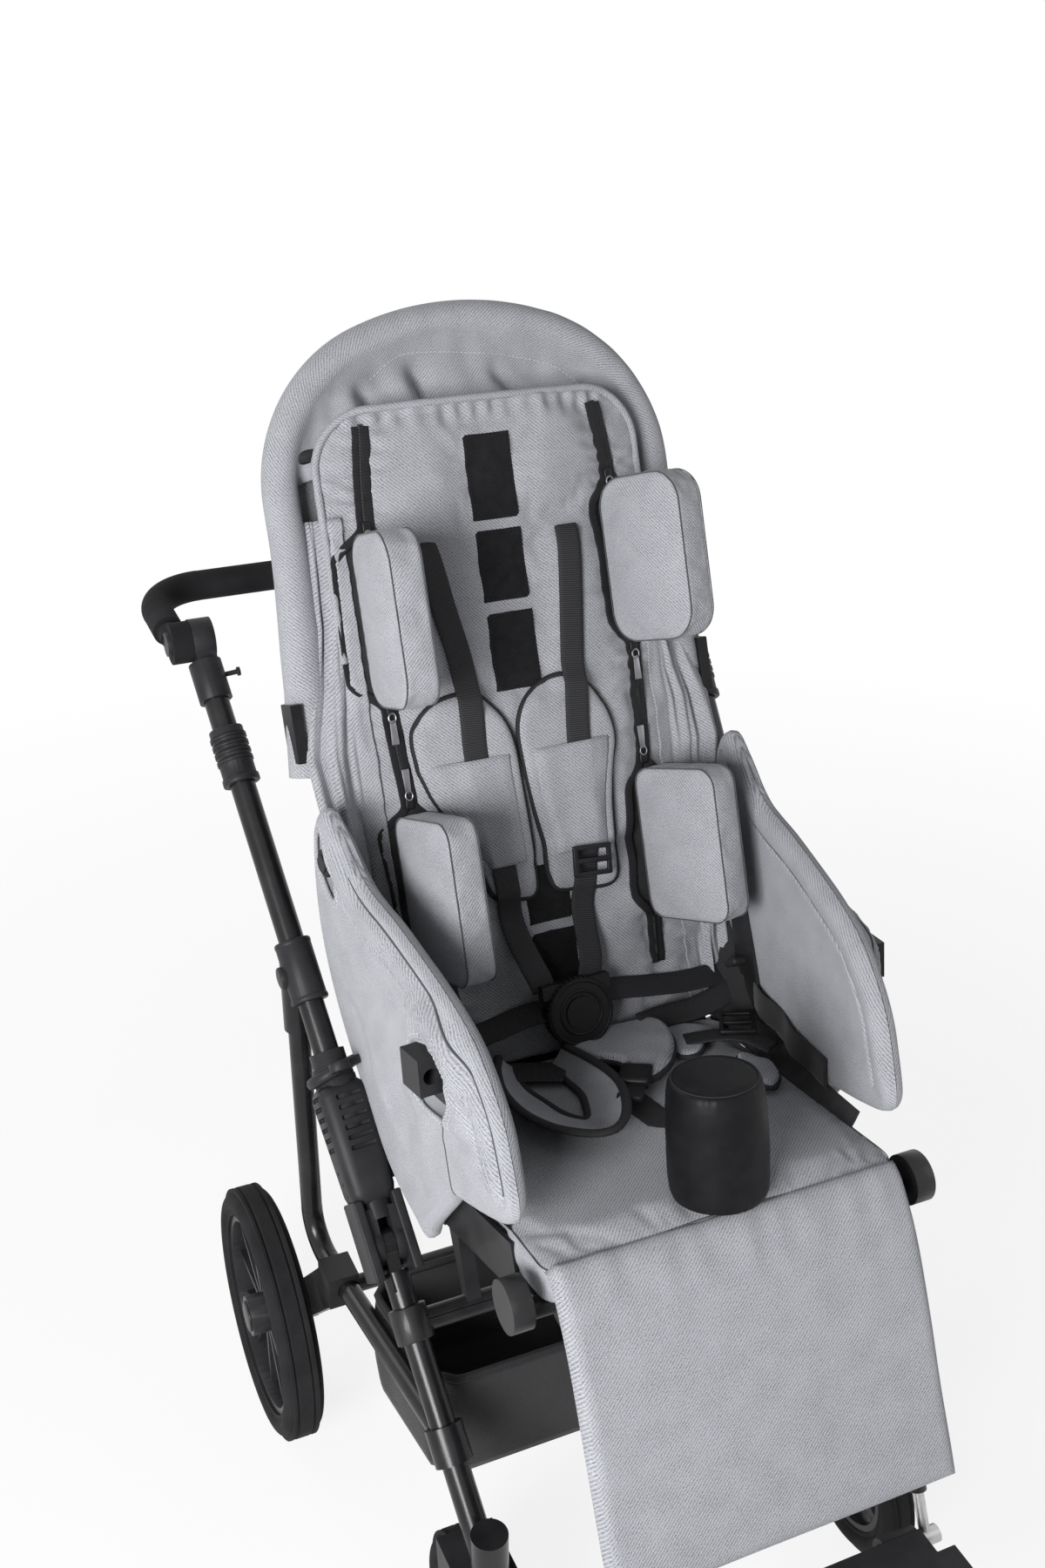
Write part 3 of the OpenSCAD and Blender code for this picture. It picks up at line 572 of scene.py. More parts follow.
def smooth_curve(points: Sequence[Sequence[float]], steps: int, closed: bool = False) -> Points:
    """Points on a Catmull-Rom curve through the given ones.

    Args:
        points: The points that the curve goes through.
        steps: How many points each stretch gets.
        closed: True where the curve returns to its start.

    Returns:
        The curve's points, without a repeat of the first one where it is closed.
    """
    p = np.asarray(points, float)
    if closed:
        before, after, last = np.roll(p, 1, 0), np.roll(p, -1, 0), np.roll(p, -2, 0)
    else:
        before = np.vstack((2 * p[0] - p[1], p[:-2]))
        after, last = p[1:], np.vstack((p[2:], 2 * p[-1] - p[-2]))
        p = p[:-1]
    t = (np.arange(steps) / steps)[None, :, None]
    a, b, c, d = (x[:, None, :] for x in (before, p, after, last))
    curve = 0.5 * (2 * b + (c - a) * t + (2 * a - 5 * b + 4 * c - d) * t**2 + (3 * b - a - 3 * c + d) * t**3)
    curve = curve.reshape(-1, p.shape[1])
    return curve if closed else np.vstack((curve, np.asarray(points[-1], float)))


def lengths(path: Points) -> Points:
    """Distance along a path to each of its points."""
    return np.concatenate(([0.0], np.cumsum(np.linalg.norm(np.diff(path, axis=0), axis=1))))


def sampled(marks: Points, run: Points, rows: Points) -> Points:
    """Rows that are given along a run, read at marks between them."""
    return np.stack([np.interp(marks, run, column) for column in rows.T], axis=-1)


def evenly(path: Points, step: float) -> Points:
    """The path in equal steps of about the given length."""
    run = lengths(path)
    count = max(2, round(run[-1] / step) + 1)
    return sampled(np.linspace(0, run[-1], count), run, path)


def unit(vectors: Points) -> Points:
    """Vectors, along the last axis, brought to a length of 1."""
    return vectors / np.linalg.norm(vectors, axis=-1, keepdims=True)


def between(first: Points, last: Points, share: Points) -> Points:
    """Points at shares of the way from the first ones to the last ones."""
    return first * (1 - share) + last * share


def levelled(flat: Points) -> Points:
    """Local points from across and along values, with an out value of 0."""
    return np.concatenate((flat, np.zeros((*flat.shape[:-1], 1))), axis=-1)


def rows_and_columns(columns: Points, rows: Points) -> Points:
    """Grid of pairs, its first value from the columns and its second from the rows."""
    return np.stack(np.meshgrid(columns, rows), axis=-1)


def wrapped(grid: Points) -> Points:
    """A grid with its first column again at the end."""
    return np.concatenate((grid, grid[:, :1]), axis=1)


def mirrored_path(right: Points) -> Points:
    """A path from the right to the middle, with its mirror image on to the left."""
    return np.vstack((right, (right * (-1, 1))[-2::-1]))


def arc(centre: Sequence[float], radius: float, turn: Points) -> Points:
    """Points of an arc at these angles."""
    return np.stack((centre[0] + radius * np.cos(turn), centre[1] + radius * np.sin(turn)), axis=1)


def full_turn(count: int) -> Points:
    """Angles in equal steps once round, without the last one."""
    return np.linspace(0, math.tau, count, endpoint=False)


def border(shape: tuple[int, int]) -> Points:
    """True round the edge of a grid of that shape."""
    found = np.ones(shape, bool)
    found[1:-1, 1:-1] = False
    return found


def ease(x: Points | float) -> Points:
    """Smooth step from 0 to 1."""
    t = np.clip(x, 0.0, 1.0)
    return t * t * (3 - 2 * t)


def rounded(x: Points) -> Points:
    """Quarter circle that rises from 0 at 0 to 1 at 1."""
    return np.sqrt(np.clip(1 - (1 - np.clip(x, 0.0, 1.0)) ** 2, 0, 1))


def bell(x: Points, centre: float, width: float) -> Points:
    """Bump of height 1 about a centre."""
    return np.exp(-(((np.asarray(x) - centre) / width) ** 2))


def ripple(points: Points, scale: float, seed: int) -> Points:
    """Smooth random swells over points, the same each run.

    Args:
        points: Points to take the swell at, in metres.
        scale: Length of a swell.
        seed: Picks one pattern.

    Returns:
        Swell at each point, about from -1 to 1.
    """
    pick = np.random.default_rng(seed)
    waves = pick.normal(size=(14, points.shape[-1])) * (math.tau / scale) * 0.5
    shifts = pick.uniform(0, math.tau, 14)
    return np.sin(points @ waves.T + shifts).sum(-1) / 5.0


class Panelwork:
    """Grids of points sewn into one mesh, with a weave map in metres and stitches that hold."""

    def __init__(self) -> None:
        """Start with no panels."""
        self.points: list[Points] = []
        self.faces: list[Points] = []
        self.weave: list[Points] = []
        self.held: list[Points] = []
        self.coats: list[Points] = []
        self.count = 0

    def panel(self, grid: Points, weave: Points, held: Points | None = None, wrap: bool = False,
              coat: int = 0) -> None:
        """Add a grid of quads.

        Args:
            grid: Points in rows and columns.
            weave: Weave map of the grid, with one more column where it wraps.
            held: True at the points that stitches hold.
            wrap: True where the last column joins the first.
            coat: Number of the finish that the panel takes.
        """
        rows, cols = grid.shape[:2]
        index = self.count + np.arange(rows * cols).reshape(rows, cols)
        marks = np.arange((cols + 1 if wrap else cols) * rows).reshape(rows, -1)
        if wrap:
            index = wrapped(index)
        quads = self.corners(index)
        self.weave.append(weave.reshape(-1, 2)[self.corners(marks).ravel()])
        self.points.append(grid.reshape(-1, 3))
        self.faces.append(quads)
        self.held.append(np.zeros(rows * cols, bool) if held is None else held.ravel())
        self.coats.append(np.full(len(quads), coat))
        self.count += rows * cols

    @staticmethod
    def corners(index: Points) -> Points:
        """The four corners of each cell of an index grid."""
        around = (index[:-1, :-1], index[:-1, 1:], index[1:, 1:], index[1:, :-1])
        return np.stack([corner.ravel() for corner in around], axis=1)

    def fan(self, rim: Points, weave: Points) -> None:
        """Close a ring of points with a fan about its middle."""
        middle = np.repeat(rim.mean(0)[None], len(rim), axis=0)
        self.panel(np.stack((rim, middle)), weave, wrap=True)

    def piece(self, name: str, *finishes: Finish, closed: bool = True) -> Piece:
        """Join the panels into an object.

        Args:
            name: Name of the piece.
            finishes: The finishes, by number.
            closed: True to turn the faces outwards.

        Returns:
            The new object.
        """
        mesh = bpy.data.meshes.new(name)
        mesh.from_pydata(np.vstack(self.points), [], np.vstack(self.faces).tolist())
        uv = mesh.uv_layers.new(name=WEAVE)
        uv.data.foreach_set("uv", np.vstack(self.weave).astype(np.float32).ravel())
        for finish in finishes:
            mesh.materials.append(finish.material())
        mesh.polygons.foreach_set("material_index", np.concatenate(self.coats).astype(np.int32))
        made = bpy.data.objects.new(name, mesh)
        bpy.context.scene.collection.objects.link(made)
        held = np.flatnonzero(np.concatenate(self.held))
        if len(held):
            made.vertex_groups.new(name=HELD).add(held.tolist(), 1.0, "REPLACE")
        if closed:
            tidy_mesh(made)
        else:
            select_only(made)
            bpy.ops.object.shade_smooth()
        return made


COVER_CLOTH = {
    "quality": 5,
    "mass": 0.2,
    "tension_stiffness": 12.0,
    "compression_stiffness": 12.0,
    "shear_stiffness": 4.0,
    "bending_stiffness": 0.4,
    "use_pressure": True,
}


@dataclass(frozen=True)
class Filling:
    """How a padded piece is stuffed: pressure, spare cloth and the most that a point may move."""

    pressure: float = 4.0
    spare: float = 0.02
    cap: float = 0.008
    frames: int = 20

    def puff(self, piece: Piece) -> None:
        """Swell a piece by cloth simulation between its held stitches, and apply the result.

        Args:
            piece: Padded piece whose stitches are in its held group.
        """
        before = coordinates(piece)
        select_only(piece)
        cloth = piece.modifiers.new("puff", "CLOTH")
        for name, value in COVER_CLOTH.items():
            setattr(cloth.settings, name, value)
        cloth.settings.uniform_pressure_force = self.pressure
        cloth.settings.shrink_min = -self.spare
        cloth.settings.vertex_group_mass = HELD
        cloth.settings.effector_weights.gravity = 0.0
        cloth.collision_settings.use_collision = False
        cloth.point_cache.frame_end = self.frames
        for step in range(1, self.frames + 1):
            bpy.context.scene.frame_set(step)
        bpy.ops.object.modifier_apply(modifier=cloth.name)
        bpy.context.scene.frame_set(1)
        move = coordinates(piece) - before
        far = np.linalg.norm(move, axis=1, keepdims=True)
        set_coordinates(piece, before + move * np.minimum(1.0, self.cap / np.maximum(far, 1e-9)))


def refine(piece: Piece) -> Piece:
    """Apply one level of subdivision to a piece and shade it smooth."""
    apply_modifier(piece, "SUBSURF", levels=1, render_levels=1)
    bpy.ops.object.shade_smooth()
    return piece


class Surface:
    """Skin of finished pieces that other pieces are laid on."""

    def __init__(self, *pieces: Piece) -> None:
        """Gather the faces of the pieces."""
        points: list[Vector] = []
        faces: list[list[int]] = []
        for piece in pieces:
            start = len(points)
            points += [v.co.copy() for v in piece.data.vertices]
            faces += [[start + i for i in p.vertices] for p in piece.data.polygons]
        self.tree = BVHTree.FromPolygons(points, faces)

    def lay(self, place: Place, local: Points, lift: float, floor: float = -0.2) -> Points:
        """Drop local points onto the skin along the frame's out direction.

        Args:
            place: Frame of the points.
            local: Local points whose out value is replaced.
            lift: Height above the skin.
            floor: Out value where there is no skin below.

        Returns:
            Local points that lie on the skin.
        """
        flat = local.reshape(-1, 3).copy()
        down = Vector(place.turn((0, 0, -1)))
        flat[:, 2] = RAY_START
        for k, start in enumerate(place.at(flat)):
            hit = self.tree.ray_cast(Vector(start), down)
            flat[k, 2] = floor if hit[0] is None else RAY_START - hit[3] + lift
        return flat.reshape(local.shape)

    def path(self, place: Place, flat: Points, lift: float) -> Points:
        """Points of the buggy for across and along values, laid on the skin."""
        return place.at(self.lay(place, levelled(flat), lift))


def swept(work: Panelwork, path: Points, up: Sequence[float], section: Points, closed: bool = False,
          grow: Points | None = None) -> None:
    """Sweep a closed section along a path into a panel.

    Args:
        work: Panelwork that gets the panel.
        path: Points of the path.
        up: Direction that the section's second axis follows.
        section: Points of the section, beside and above the path.
        closed: True where the path returns to its start.
        grow: Scale of the section at each point of the path.
    """
    if closed:
        path = np.vstack((path[-1:], path, path[:2]))
    ahead = unit(np.gradient(path, axis=0))
    beside = unit(np.cross(ahead, up))
    above = np.cross(beside, ahead)
    if closed:
        path, beside, above = path[1:-1], beside[1:-1], above[1:-1]
    scale = np.ones(len(path)) if grow is None else grow
    offsets = section[None, :, :1] * beside[:, None] + section[None, :, 1:] * above[:, None]
    grid = path[:, None] + scale[:, None, None] * offsets
    weave = rows_and_columns(lengths(np.vstack((section, section[:1]))), lengths(path))
    work.panel(grid, weave, wrap=True)
    if not closed:
        for end in (0, -1):
            middle = np.repeat(grid[end].mean(0)[None], len(section), axis=0)
            cap = np.stack((grid[end], middle) if end else (middle, grid[end]))
            work.panel(cap, weave[:2], wrap=True)


def round_section(width: float, height: float, sides: int) -> Points:
    """Section of a round or oval cord."""
    turn = full_turn(sides)
    return np.stack((0.5 * width * np.cos(turn), 0.5 * height * np.sin(turn)), axis=1)


def flat_section(width: float, thick: float) -> Points:
    """Section of a flat strap with a slight crown and soft edges."""
    across = np.array([-0.5, -0.47, -0.3, -0.1, 0.1, 0.3, 0.47, 0.5])
    rise = np.array([0.0, 0.42, 0.5, 0.54, 0.54, 0.5, 0.42, 0.0])
    top = np.stack((across * width, rise * thick), axis=1)
    bottom = np.stack((across[-2:0:-1] * width, -0.5 * thick * np.ones(6)), axis=1)
    return np.vstack((top, bottom))


STITCH_WIDTH = 0.0011
STITCH_HEIGHT = 0.0009
STITCH_MARKS = np.array([0.0, 0.12, 0.36, 0.6, 0.72])
STITCH_SCALES = np.array([0.3, 0.9, 1.0, 0.9, 0.3])


def stitch_row(work: Panelwork, path: Points, up: Sequence[float], pitch: float = 0.0042) -> None:
    """Lay a row of short raised stitches along a path.

    Args:
        work: Panelwork that gets the stitches.
        path: Points of the row, on the cloth.
        up: Direction away from the cloth.
        pitch: Distance from stitch to stitch.
    """
    run = lengths(path)
    section = round_section(STITCH_WIDTH, STITCH_HEIGHT, 5)
    for start in np.arange(0.3 * pitch, run[-1] - 0.7 * pitch, pitch):
        marks = start + pitch * STITCH_MARKS
        swept(work, sampled(marks, run, path), up, section, grow=STITCH_SCALES)


def dress(piece: Piece, body: str, *nodes: str, slot: str = "",
          fill: float | None = None) -> Piece:
    """Put a finished piece on its body.

    Args:
        piece: The finished piece.
        body: Body that it moves with.
        nodes: Nodes that it stands for.
        slot: Material slot of the record; not used.
        fill: How full it is stuffed, where it is padded; not used.

    Returns:
        The same piece.
    """
    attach(piece, body)
    if nodes:
        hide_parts(*nodes)
    LOG.info("%s on %s, %d faces", piece.name, body, len(piece.data.polygons))
    return piece


def rim_of(grid: Points) -> Points:
    """The edge points of a grid, once round."""
    return np.concatenate((grid[0, :-1], grid[:-1, -1], grid[-1, :0:-1], grid[:0:-1, 0]))


def cord_piece(name: str, paths: Sequence[Points], up: Sequence[float], width: float, finish: Finish,
               height: float = 0.0, closed: bool = True) -> Piece:
    """Round or oval cords along paths, as one piece.

    Args:
        name: Name of the piece.
        paths: Points of each cord's middle.
        up: Direction that the cord's height follows.
        width: Width of the cord.
        finish: Its finish.
        height: Its height, or 0 for a round cord.
        closed: True where the paths return to their start.

    Returns:
        The new object.
    """
    work = Panelwork()
    for path in paths:
        swept(work, path, up, round_section(width, height or width, 8), closed=closed)
    return work.piece(name, finish)


def cloth_piece(name: str, finish: Finish, grid: Points, weave: Points, thick: float, offset: float = -1.0,
                wrap: bool = False) -> Piece:
    """Cloth of an even thickness over a grid of points.

    Args:
        name: Name of the piece.
        finish: Its finish.
        grid: Points in rows and columns.
        weave: Weave map of the grid, with one more column where it wraps.
        thick: Thickness of the cloth.
        offset: Side of the grid that the thickness goes to, -1 or 1.
        wrap: True where the last column joins the first.

    Returns:
        The new object.
    """
    work = Panelwork()
    work.panel(grid, weave, wrap=wrap)
    cloth = work.piece(name, finish, closed=False)
    apply_modifier(cloth, "SOLIDIFY", thickness=thick, offset=offset)
    return cloth


def primitive(name: str, add: Callable, **settings: object) -> Piece:
    """A new mesh with that name, made by one of Blender's own add operators."""
    bpy.ops.object.select_all(action="DESELECT")
    add(**settings)
    made = bpy.context.object
    made.name = name
    made.data.name = name
    return made


def cube(name: str, size: Sequence[float], middle: Sequence[float] = (0.0, 0.0, 0.0)) -> Piece:
    """A square block with that size and middle."""
    made = primitive(name, bpy.ops.mesh.primitive_cube_add, size=1.0)
    set_coordinates(made, coordinates(made) * np.array(size) + np.array(middle))
    return made


def joined(pieces: Sequence[Piece]) -> Piece:
    """Several objects as one, under the name of the first."""
    bpy.ops.object.select_all(action="DESELECT")
    for piece in pieces:
        piece.select_set(True)
    bpy.context.view_layer.objects.active = pieces[0]
    bpy.ops.object.join()
    return pieces[0]


def set_in(piece: Piece, place: Place, finish: Finish, angle: float) -> Piece:
    """Turn a piece from local points into a place, give it a finish and keep edges sharper than the angle."""
    set_coordinates(piece, place.at(coordinates(piece)))
    piece.data.materials.append(finish.material())
    tidy_mesh(piece)
    bpy.ops.object.shade_smooth_by_angle(angle=math.radians(angle))
    return piece


@dataclass
class BoxedPad:
    """A boxed cushion: a front and a back face joined by a gusset, sewn along both edges."""

    name: str
    place: Place
    width: float
    height: float
    front: Callable[[Points], Points]
    back: Callable[[Points], Points]
    low_r: float = 0.02
    high_r: float = 0.02
    cell: float = 0.005
    stitched: Callable[[Points], Points] | None = None
    filling: Filling = Filling()
    finish: Finish = GREY_TWILL
    front_seam: Points = field(init=False)
    back_seam: Points = field(init=False)

    def face(self) -> Points:
        """Grid of the face's local points, square cells drawn in to the rounded corners."""
        counts = [round(size / self.cell) + 1 for size in (self.width, self.height)]
        square = rows_and_columns(*(np.linspace(-1, 1, count) for count in counts))
        half = np.array([self.width, self.height]) / 2
        edge = np.abs(square).max(-1)
        reach = square * half / np.maximum(edge, 1e-9)[..., None]
        radius = np.where(square[..., 1] > 0, self.high_r, self.low_r)
        corner = np.sign(reach) * (half - radius[..., None])
        in_corner = (np.abs(reach) > np.abs(corner)).all(-1)
        a, b = (reach**2).sum(-1), (reach * corner).sum(-1)
        c = (corner**2).sum(-1) - radius**2
        k = np.where(in_corner, (b + np.sqrt(np.maximum(b * b - a * c, 0))) / np.maximum(a, 1e-9), 1.0)
        return square * half * (1 + (k - 1) * edge**3)[..., None]

    def build(self) -> Piece:
        """Sew the pad, stuff it and keep its two seams.

        Returns:
            The finished pad.
        """
        flat = self.face()
        sewn = border(flat.shape[:2])
        held = sewn if self.stitched is None else sewn | self.stitched(flat)
        front = np.dstack((flat, self.front(flat)))
        back = np.dstack((flat, self.back(flat)))
        self.front_seam, self.back_seam = self.place.at(rim_of(front)), self.place.at(rim_of(back))
        deep = np.linalg.norm(self.front_seam - self.back_seam, axis=1).max()
        rows = max(4, round(deep / self.cell) + 1)
        share = np.linspace(0, 1, rows)[:, None, None]
        gusset = between(self.front_seam[None], self.back_seam[None], share)
        girth = lengths(np.vstack((self.front_seam, self.front_seam[:1])))
        edge = np.zeros(gusset.shape[:2], bool)
        edge[[0, -1]] = True
        work = Panelwork()
        work.panel(self.place.at(front), flat, held)
        work.panel(self.place.at(back), flat, sewn)
        work.panel(gusset, rows_and_columns(girth, share.ravel() * deep), edge, wrap=True)
        made = work.piece(self.name, self.finish)
        self.filling.puff(made)
        return refine(made)

    def seams(self, name: str, width: float = 0.0012, both: bool = True) -> Piece:
        """Dark cords along the edges of the pad, painted shadow of its seam grooves."""
        paths = [self.front_seam, self.back_seam] if both else [self.front_seam]
        return cord_piece(name, paths, self.place.out, width, SEAM_SHADE)


def crowned(level: float, crown: float, half: tuple[float, float]) -> Callable[[Points], Points]:
    """Face that swells from a level at its edges by a crown in its middle."""

    def height(flat: Points) -> Points:
        """Out value at local points."""
        share = np.clip(np.abs(flat) / np.array(half), 0, 1)
        return level + crown * (1 - share[..., 0] ** 2.4) * (1 - share[..., 1] ** 2.4)

    return height


@dataclass
class SidePad:
    """A head or trunk support: a boxed pad on a flat stem that reaches back to its rail."""

    kind: str
    side: Side
    middle: float
    tall: float
    inner: float
    toe: float
    deep: float = 0.106
    thick: float = 0.04
    start: float = 0.009
    rail: float = 0.12
    corner: float = 0.03
    stem_wide: float = 0.006
    stem_tall: float = 0.02
    clamp: float = 0.047

    def place(self) -> Place:
        """Frame in the middle of the pad, its depth across and the child's side out."""
        c, s = math.cos(math.radians(self.toe)), math.sin(math.radians(self.toe))
        forward, outer = (-s, 0.0, c), (-c, 0.0, -s)
        centre = np.array((-self.inner, self.middle, self.start))
        centre = centre + np.array(forward) * self.deep / 2 + np.array(outer) * self.thick / 2
        inner = -BACK.turn(outer)
        found = Place(tuple(BACK.at(centre)), tuple(BACK.turn(forward)), BACK.along, tuple(inner))
        return found.on(self.side)

    def build(self) -> None:
        """Make the pad, dark cords painted as the shadow along its seams, and its stem."""
        name = f"{self.kind}_support_{self.side.word}"
        half = (self.deep / 2, self.tall / 2)
        face = self.thick / 2 - 0.005
        crown = 0.004
        pad = BoxedPad(f"{name}_pad", self.place(), self.deep, self.tall, crowned(face, crown, half),
                       crowned(-face, -crown, half), self.corner, self.corner, cell=0.0045,
                       filling=Filling(pressure=5.0, spare=0.012, cap=0.004))
        dress(pad.build(), name, name, slot="grey_fabric", fill=0.8)
        # Dark cords paint the shadow along the pad's two seams.
        dress(pad.seams(f"{name}_seams"), name)
        self.stem(name)

    def stem(self, name: str) -> None:
        """Flat enamelled stem from inside the pad back to its clamp on the rail."""
        rail = BACK.moved((-self.rail, self.middle, 0.0)).on(self.side)
        front = self.start - (self.rail - self.inner) * math.tan(math.radians(self.toe)) + 0.008
        made = cube(f"{name}_stem", (self.stem_wide, self.stem_tall, front + self.clamp),
                    (0.0, 0.0, (front - self.clamp) / 2))
        set_coordinates(made, rail.at(coordinates(made)))
        made.data.materials.append(SATIN_ENAMEL.material())
        apply_modifier(made, "BEVEL", width=0.0015, segments=2)
        tidy_mesh(made)
        dress(made, name)


@dataclass
class BackPad:
    """The quilted back cushion with its piping, zips, hook-and-loop strips and strap slots."""

    half: float = 0.165
    low: float = 0.012
    high: float = 0.655
    crown: float = 0.7
    rear: float = -0.038
    strip_half: float = 0.025
    sewn_in: float = 0.003
    strips: Line = ((0.539, 0.622), (0.461, 0.531), (0.375, 0.452), (0.142, 0.202), (0.07, 0.135))
    zip_points: Line = (
        (0.112, 0.075), (0.12, 0.2), (0.126, 0.29), (0.131, 0.4), (0.127, 0.56), (0.119, 0.642))
    trunk_gap: tuple[float, float] = (0.122, 0.284)
    head_half: float = 0.086
    open_in: float = 0.02
    open_out: float = 0.028
    lip: float = 0.03
    tape_x: float = 0.0042
    tape: tuple[float, float] = (0.0086, 0.0016)
    coil: tuple[float, float] = (0.0046, 0.0028)
    slot_x: tuple[float, float] = (0.054, 0.09)
    slot_l: float = 0.532
    piping_low: float = 0.42
    piping_pitch: float = 0.019
    piping_pucker: float = 0.0017
    zip_pitch: float = 0.016
    zip_pucker: float = 0.0014
    slack_depth: float = 0.0016
    skin: Surface = field(init=False)

    @property
    def middle(self) -> float:
        """Height of the middle of the pad along the back."""
        return (self.low + self.high) / 2

    def zip_x(self, height: Points) -> Points:
        """Distance of the zip from the middle of the pad at heights along the back."""
        curve = smooth_curve(self.zip_points, 12)
        return np.interp(height, curve[:, 1], curve[:, 0])

    def gaps(self, side: Side) -> Line:
        """Stretches of a side's zip that are open round the supports."""
        head = HEAD_HEIGHTS[side]
        return self.trunk_gap, (head - self.head_half, head + self.head_half)

    def stitched(self, flat: Points) -> Points:
        """True where the quilting holds the front of the pad down."""
        x, height = np.abs(flat[..., 0]), flat[..., 1] + self.middle
        held = (np.abs(x - self.zip_x(height)) < 0.004) & (height > 0.07)
        for low, high in self.strips:
            inside = (height > low - 0.004) & (height < high + 0.004) & (x < self.strip_half + 0.003)
            held |= inside & ((np.abs(x - self.strip_half) < 0.0028) | (np.abs(height - low) < 0.003)
                              | (np.abs(height - high) < 0.003))
        held |= (np.abs(height - self.slot_l) < 0.0028) & (x > self.slot_x[0]) & (x < self.slot_x[1])
        return held

    def build(self) -> None:
        """Make the cushion and everything that is sewn on it."""
        pad = BoxedPad("back_pad_cover", BACK.moved((0, self.middle, 0)), 2 * self.half, self.high - self.low,
                       lambda flat: -flat[..., 0] ** 2 / (2 * self.crown) - 0.003,
                       lambda flat: np.full(flat.shape[:2], self.rear), 0.012, 0.055, 0.0048, self.stitched,
                       Filling(pressure=3.5, spare=0.035, cap=0.007))
        cover = dress(pad.build(), "backrest", "back_pad", slot="grey_fabric", fill=0.6)
        self.pucker(cover)
        self.skin = Surface(cover)
        upper = pad.front_seam[BACK.local(pad.front_seam)[:, 1] > self.piping_low]
        piping = cord_piece("back_pad_piping", [upper], BACK.out, 0.0075, GREY_TWILL, closed=False)
        dress(piping, "backrest")
        self.hook_strips()
        for side in Side:
            self.zip(side)

    def pucker(self, cover: Piece) -> None:
        """Gather the cloth along the piping, beside the zips and round the strips."""
        points = coordinates(cover)
        local = BACK.local(points)
        x, height, out = np.abs(local[:, 0]), local[:, 1], local[:, 2]
        top, wide = self.high - height, self.half - x
        along = np.where(top < wide, local[:, 0], height)[:, None]
        seam = np.abs(x - self.zip_x(height))
        lively = np.clip(0.55 + 0.8 * ripple(along, 0.09, 51), 0.1, 1.3)
        drift = 2.2 * ripple(along, 0.06, 52)
        waves = np.sin(along[:, 0] * math.tau / self.piping_pitch + drift)
        piped = bell(np.minimum(top, wide), 0.011, 0.01) * waves
        drift = 2.2 * ripple(height[:, None], 0.05, 53)
        zipped = bell(seam, 0.012, 0.008) * np.sin(height * math.tau / self.zip_pitch + drift)
        slack = ripple(local[:, :2] * (1.0, 0.6), 0.075, 54) * ease(seam / 0.02)
        puckers = self.piping_pucker * piped + self.zip_pucker * zipped
        move = lively * puckers + self.slack_depth * slack
        set_coordinates(cover, points + (ease((out + 0.03) / 0.015) * move)[:, None] * np.array(BACK.out))

    def laid(self, local: Points, lift: float) -> Points:
        """World points of local back points laid on the cushion."""
        return BACK.at(self.skin.lay(BACK, local, lift, floor=-0.03))

    def hook_strips(self) -> None:
        """Hook-and-loop strips down the middle, each sewn round its edge and across."""
        work, thread = Panelwork(), Panelwork()
        inset = self.strip_half - self.sewn_in
        for low, high in self.strips:
            rows, cols = round((high - low) / 0.004) + 1, 13
            flat = rows_and_columns(np.linspace(-1, 1, cols) * self.strip_half, np.linspace(low, high, rows))
            top = self.laid(levelled(flat), 0.0016)
            top -= (border((rows, cols)) * 0.0022)[..., None] * np.array(BACK.out)
            work.panel(top, flat)
            first, last = low + self.sewn_in, high - self.sewn_in
            corners = [(-inset, first), (inset, first), (inset, last), (-inset, last)]
            for ends in (*zip(corners, corners[1:] + corners[:1]), corners[::2], corners[1::2]):
                path = self.laid(levelled(evenly(np.array(ends), 0.004)), 0.0019)
                stitch_row(thread, path, BACK.out)
        dress(work.piece("hook_strips", BLACK_PILE, closed=False), "backrest")
        dress(thread.piece("hook_strip_stitches", ZIP_TAPE), "backrest")

    def zip(self, side: Side) -> None:
        """A zip that is open round the stems of the supports on one side."""
        height = np.arange(self.zip_points[0][1], self.zip_points[-1][1], 0.0025)
        ends = self.gaps(side)
        spread = sum(ease((height - low) / self.lip) * ease((high - height) / self.lip) for low, high in ends)
        middle = self.zip_x(height)
        work = Panelwork()
        for hand, wide in ((-1, self.open_in), (1, self.open_out)):
            x = middle + hand * (self.tape_x + wide * spread)
            path = self.laid(levelled(np.column_stack((side.value * x, height))), 0.0018)
            swept(work, path, BACK.out, flat_section(*self.tape))
        dress(work.piece(f"zip_tape_{side.word}", ZIP_TAPE), "backrest")
        self.zip_coils(side)
        lens = np.linspace(-self.open_in, self.open_out, 21)
        x = side.value * (middle[:, None] + spread[:, None] * lens)
        dark = np.dstack((x, np.repeat(height[:, None], len(lens), 1)))
        patch = Panelwork()
        patch.panel(self.laid(levelled(dark), 0.0012), dark)
        dress(patch.piece(f"zip_slit_{side.word}", BLACK_TWILL, closed=False), "backrest")

    def zip_coils(self, side: Side) -> None:
        """Teeth of the closed stretches of a zip, with a slider at each end that faces a support."""
        ends = [self.zip_points[0][1], *(v for gap in self.gaps(side) for v in gap), self.zip_points[-1][1]]
        work = Panelwork()
        for low, high in zip(ends[::2], ends[1::2]):
            height = np.arange(low, high, 0.0007)
            line = np.column_stack((side.value * self.zip_x(height), height))
            path = self.laid(levelled(line), 0.0026)
            teeth = 1 + 0.16 * np.sin(height * math.tau / 0.0028)
            swept(work, path, BACK.out, round_section(*self.coil, 8), grow=teeth)
        dress(work.piece(f"zip_coil_{side.word}", ZIP_COIL), "backrest")
        trunk, head = self.gaps(side)
        for number, (height, hang) in enumerate(((head[1], -1), (head[0], -1), (trunk[1], 1))):
            self.zip_slider(f"zip_slider_{side.word}_{number}", side, height, hang)

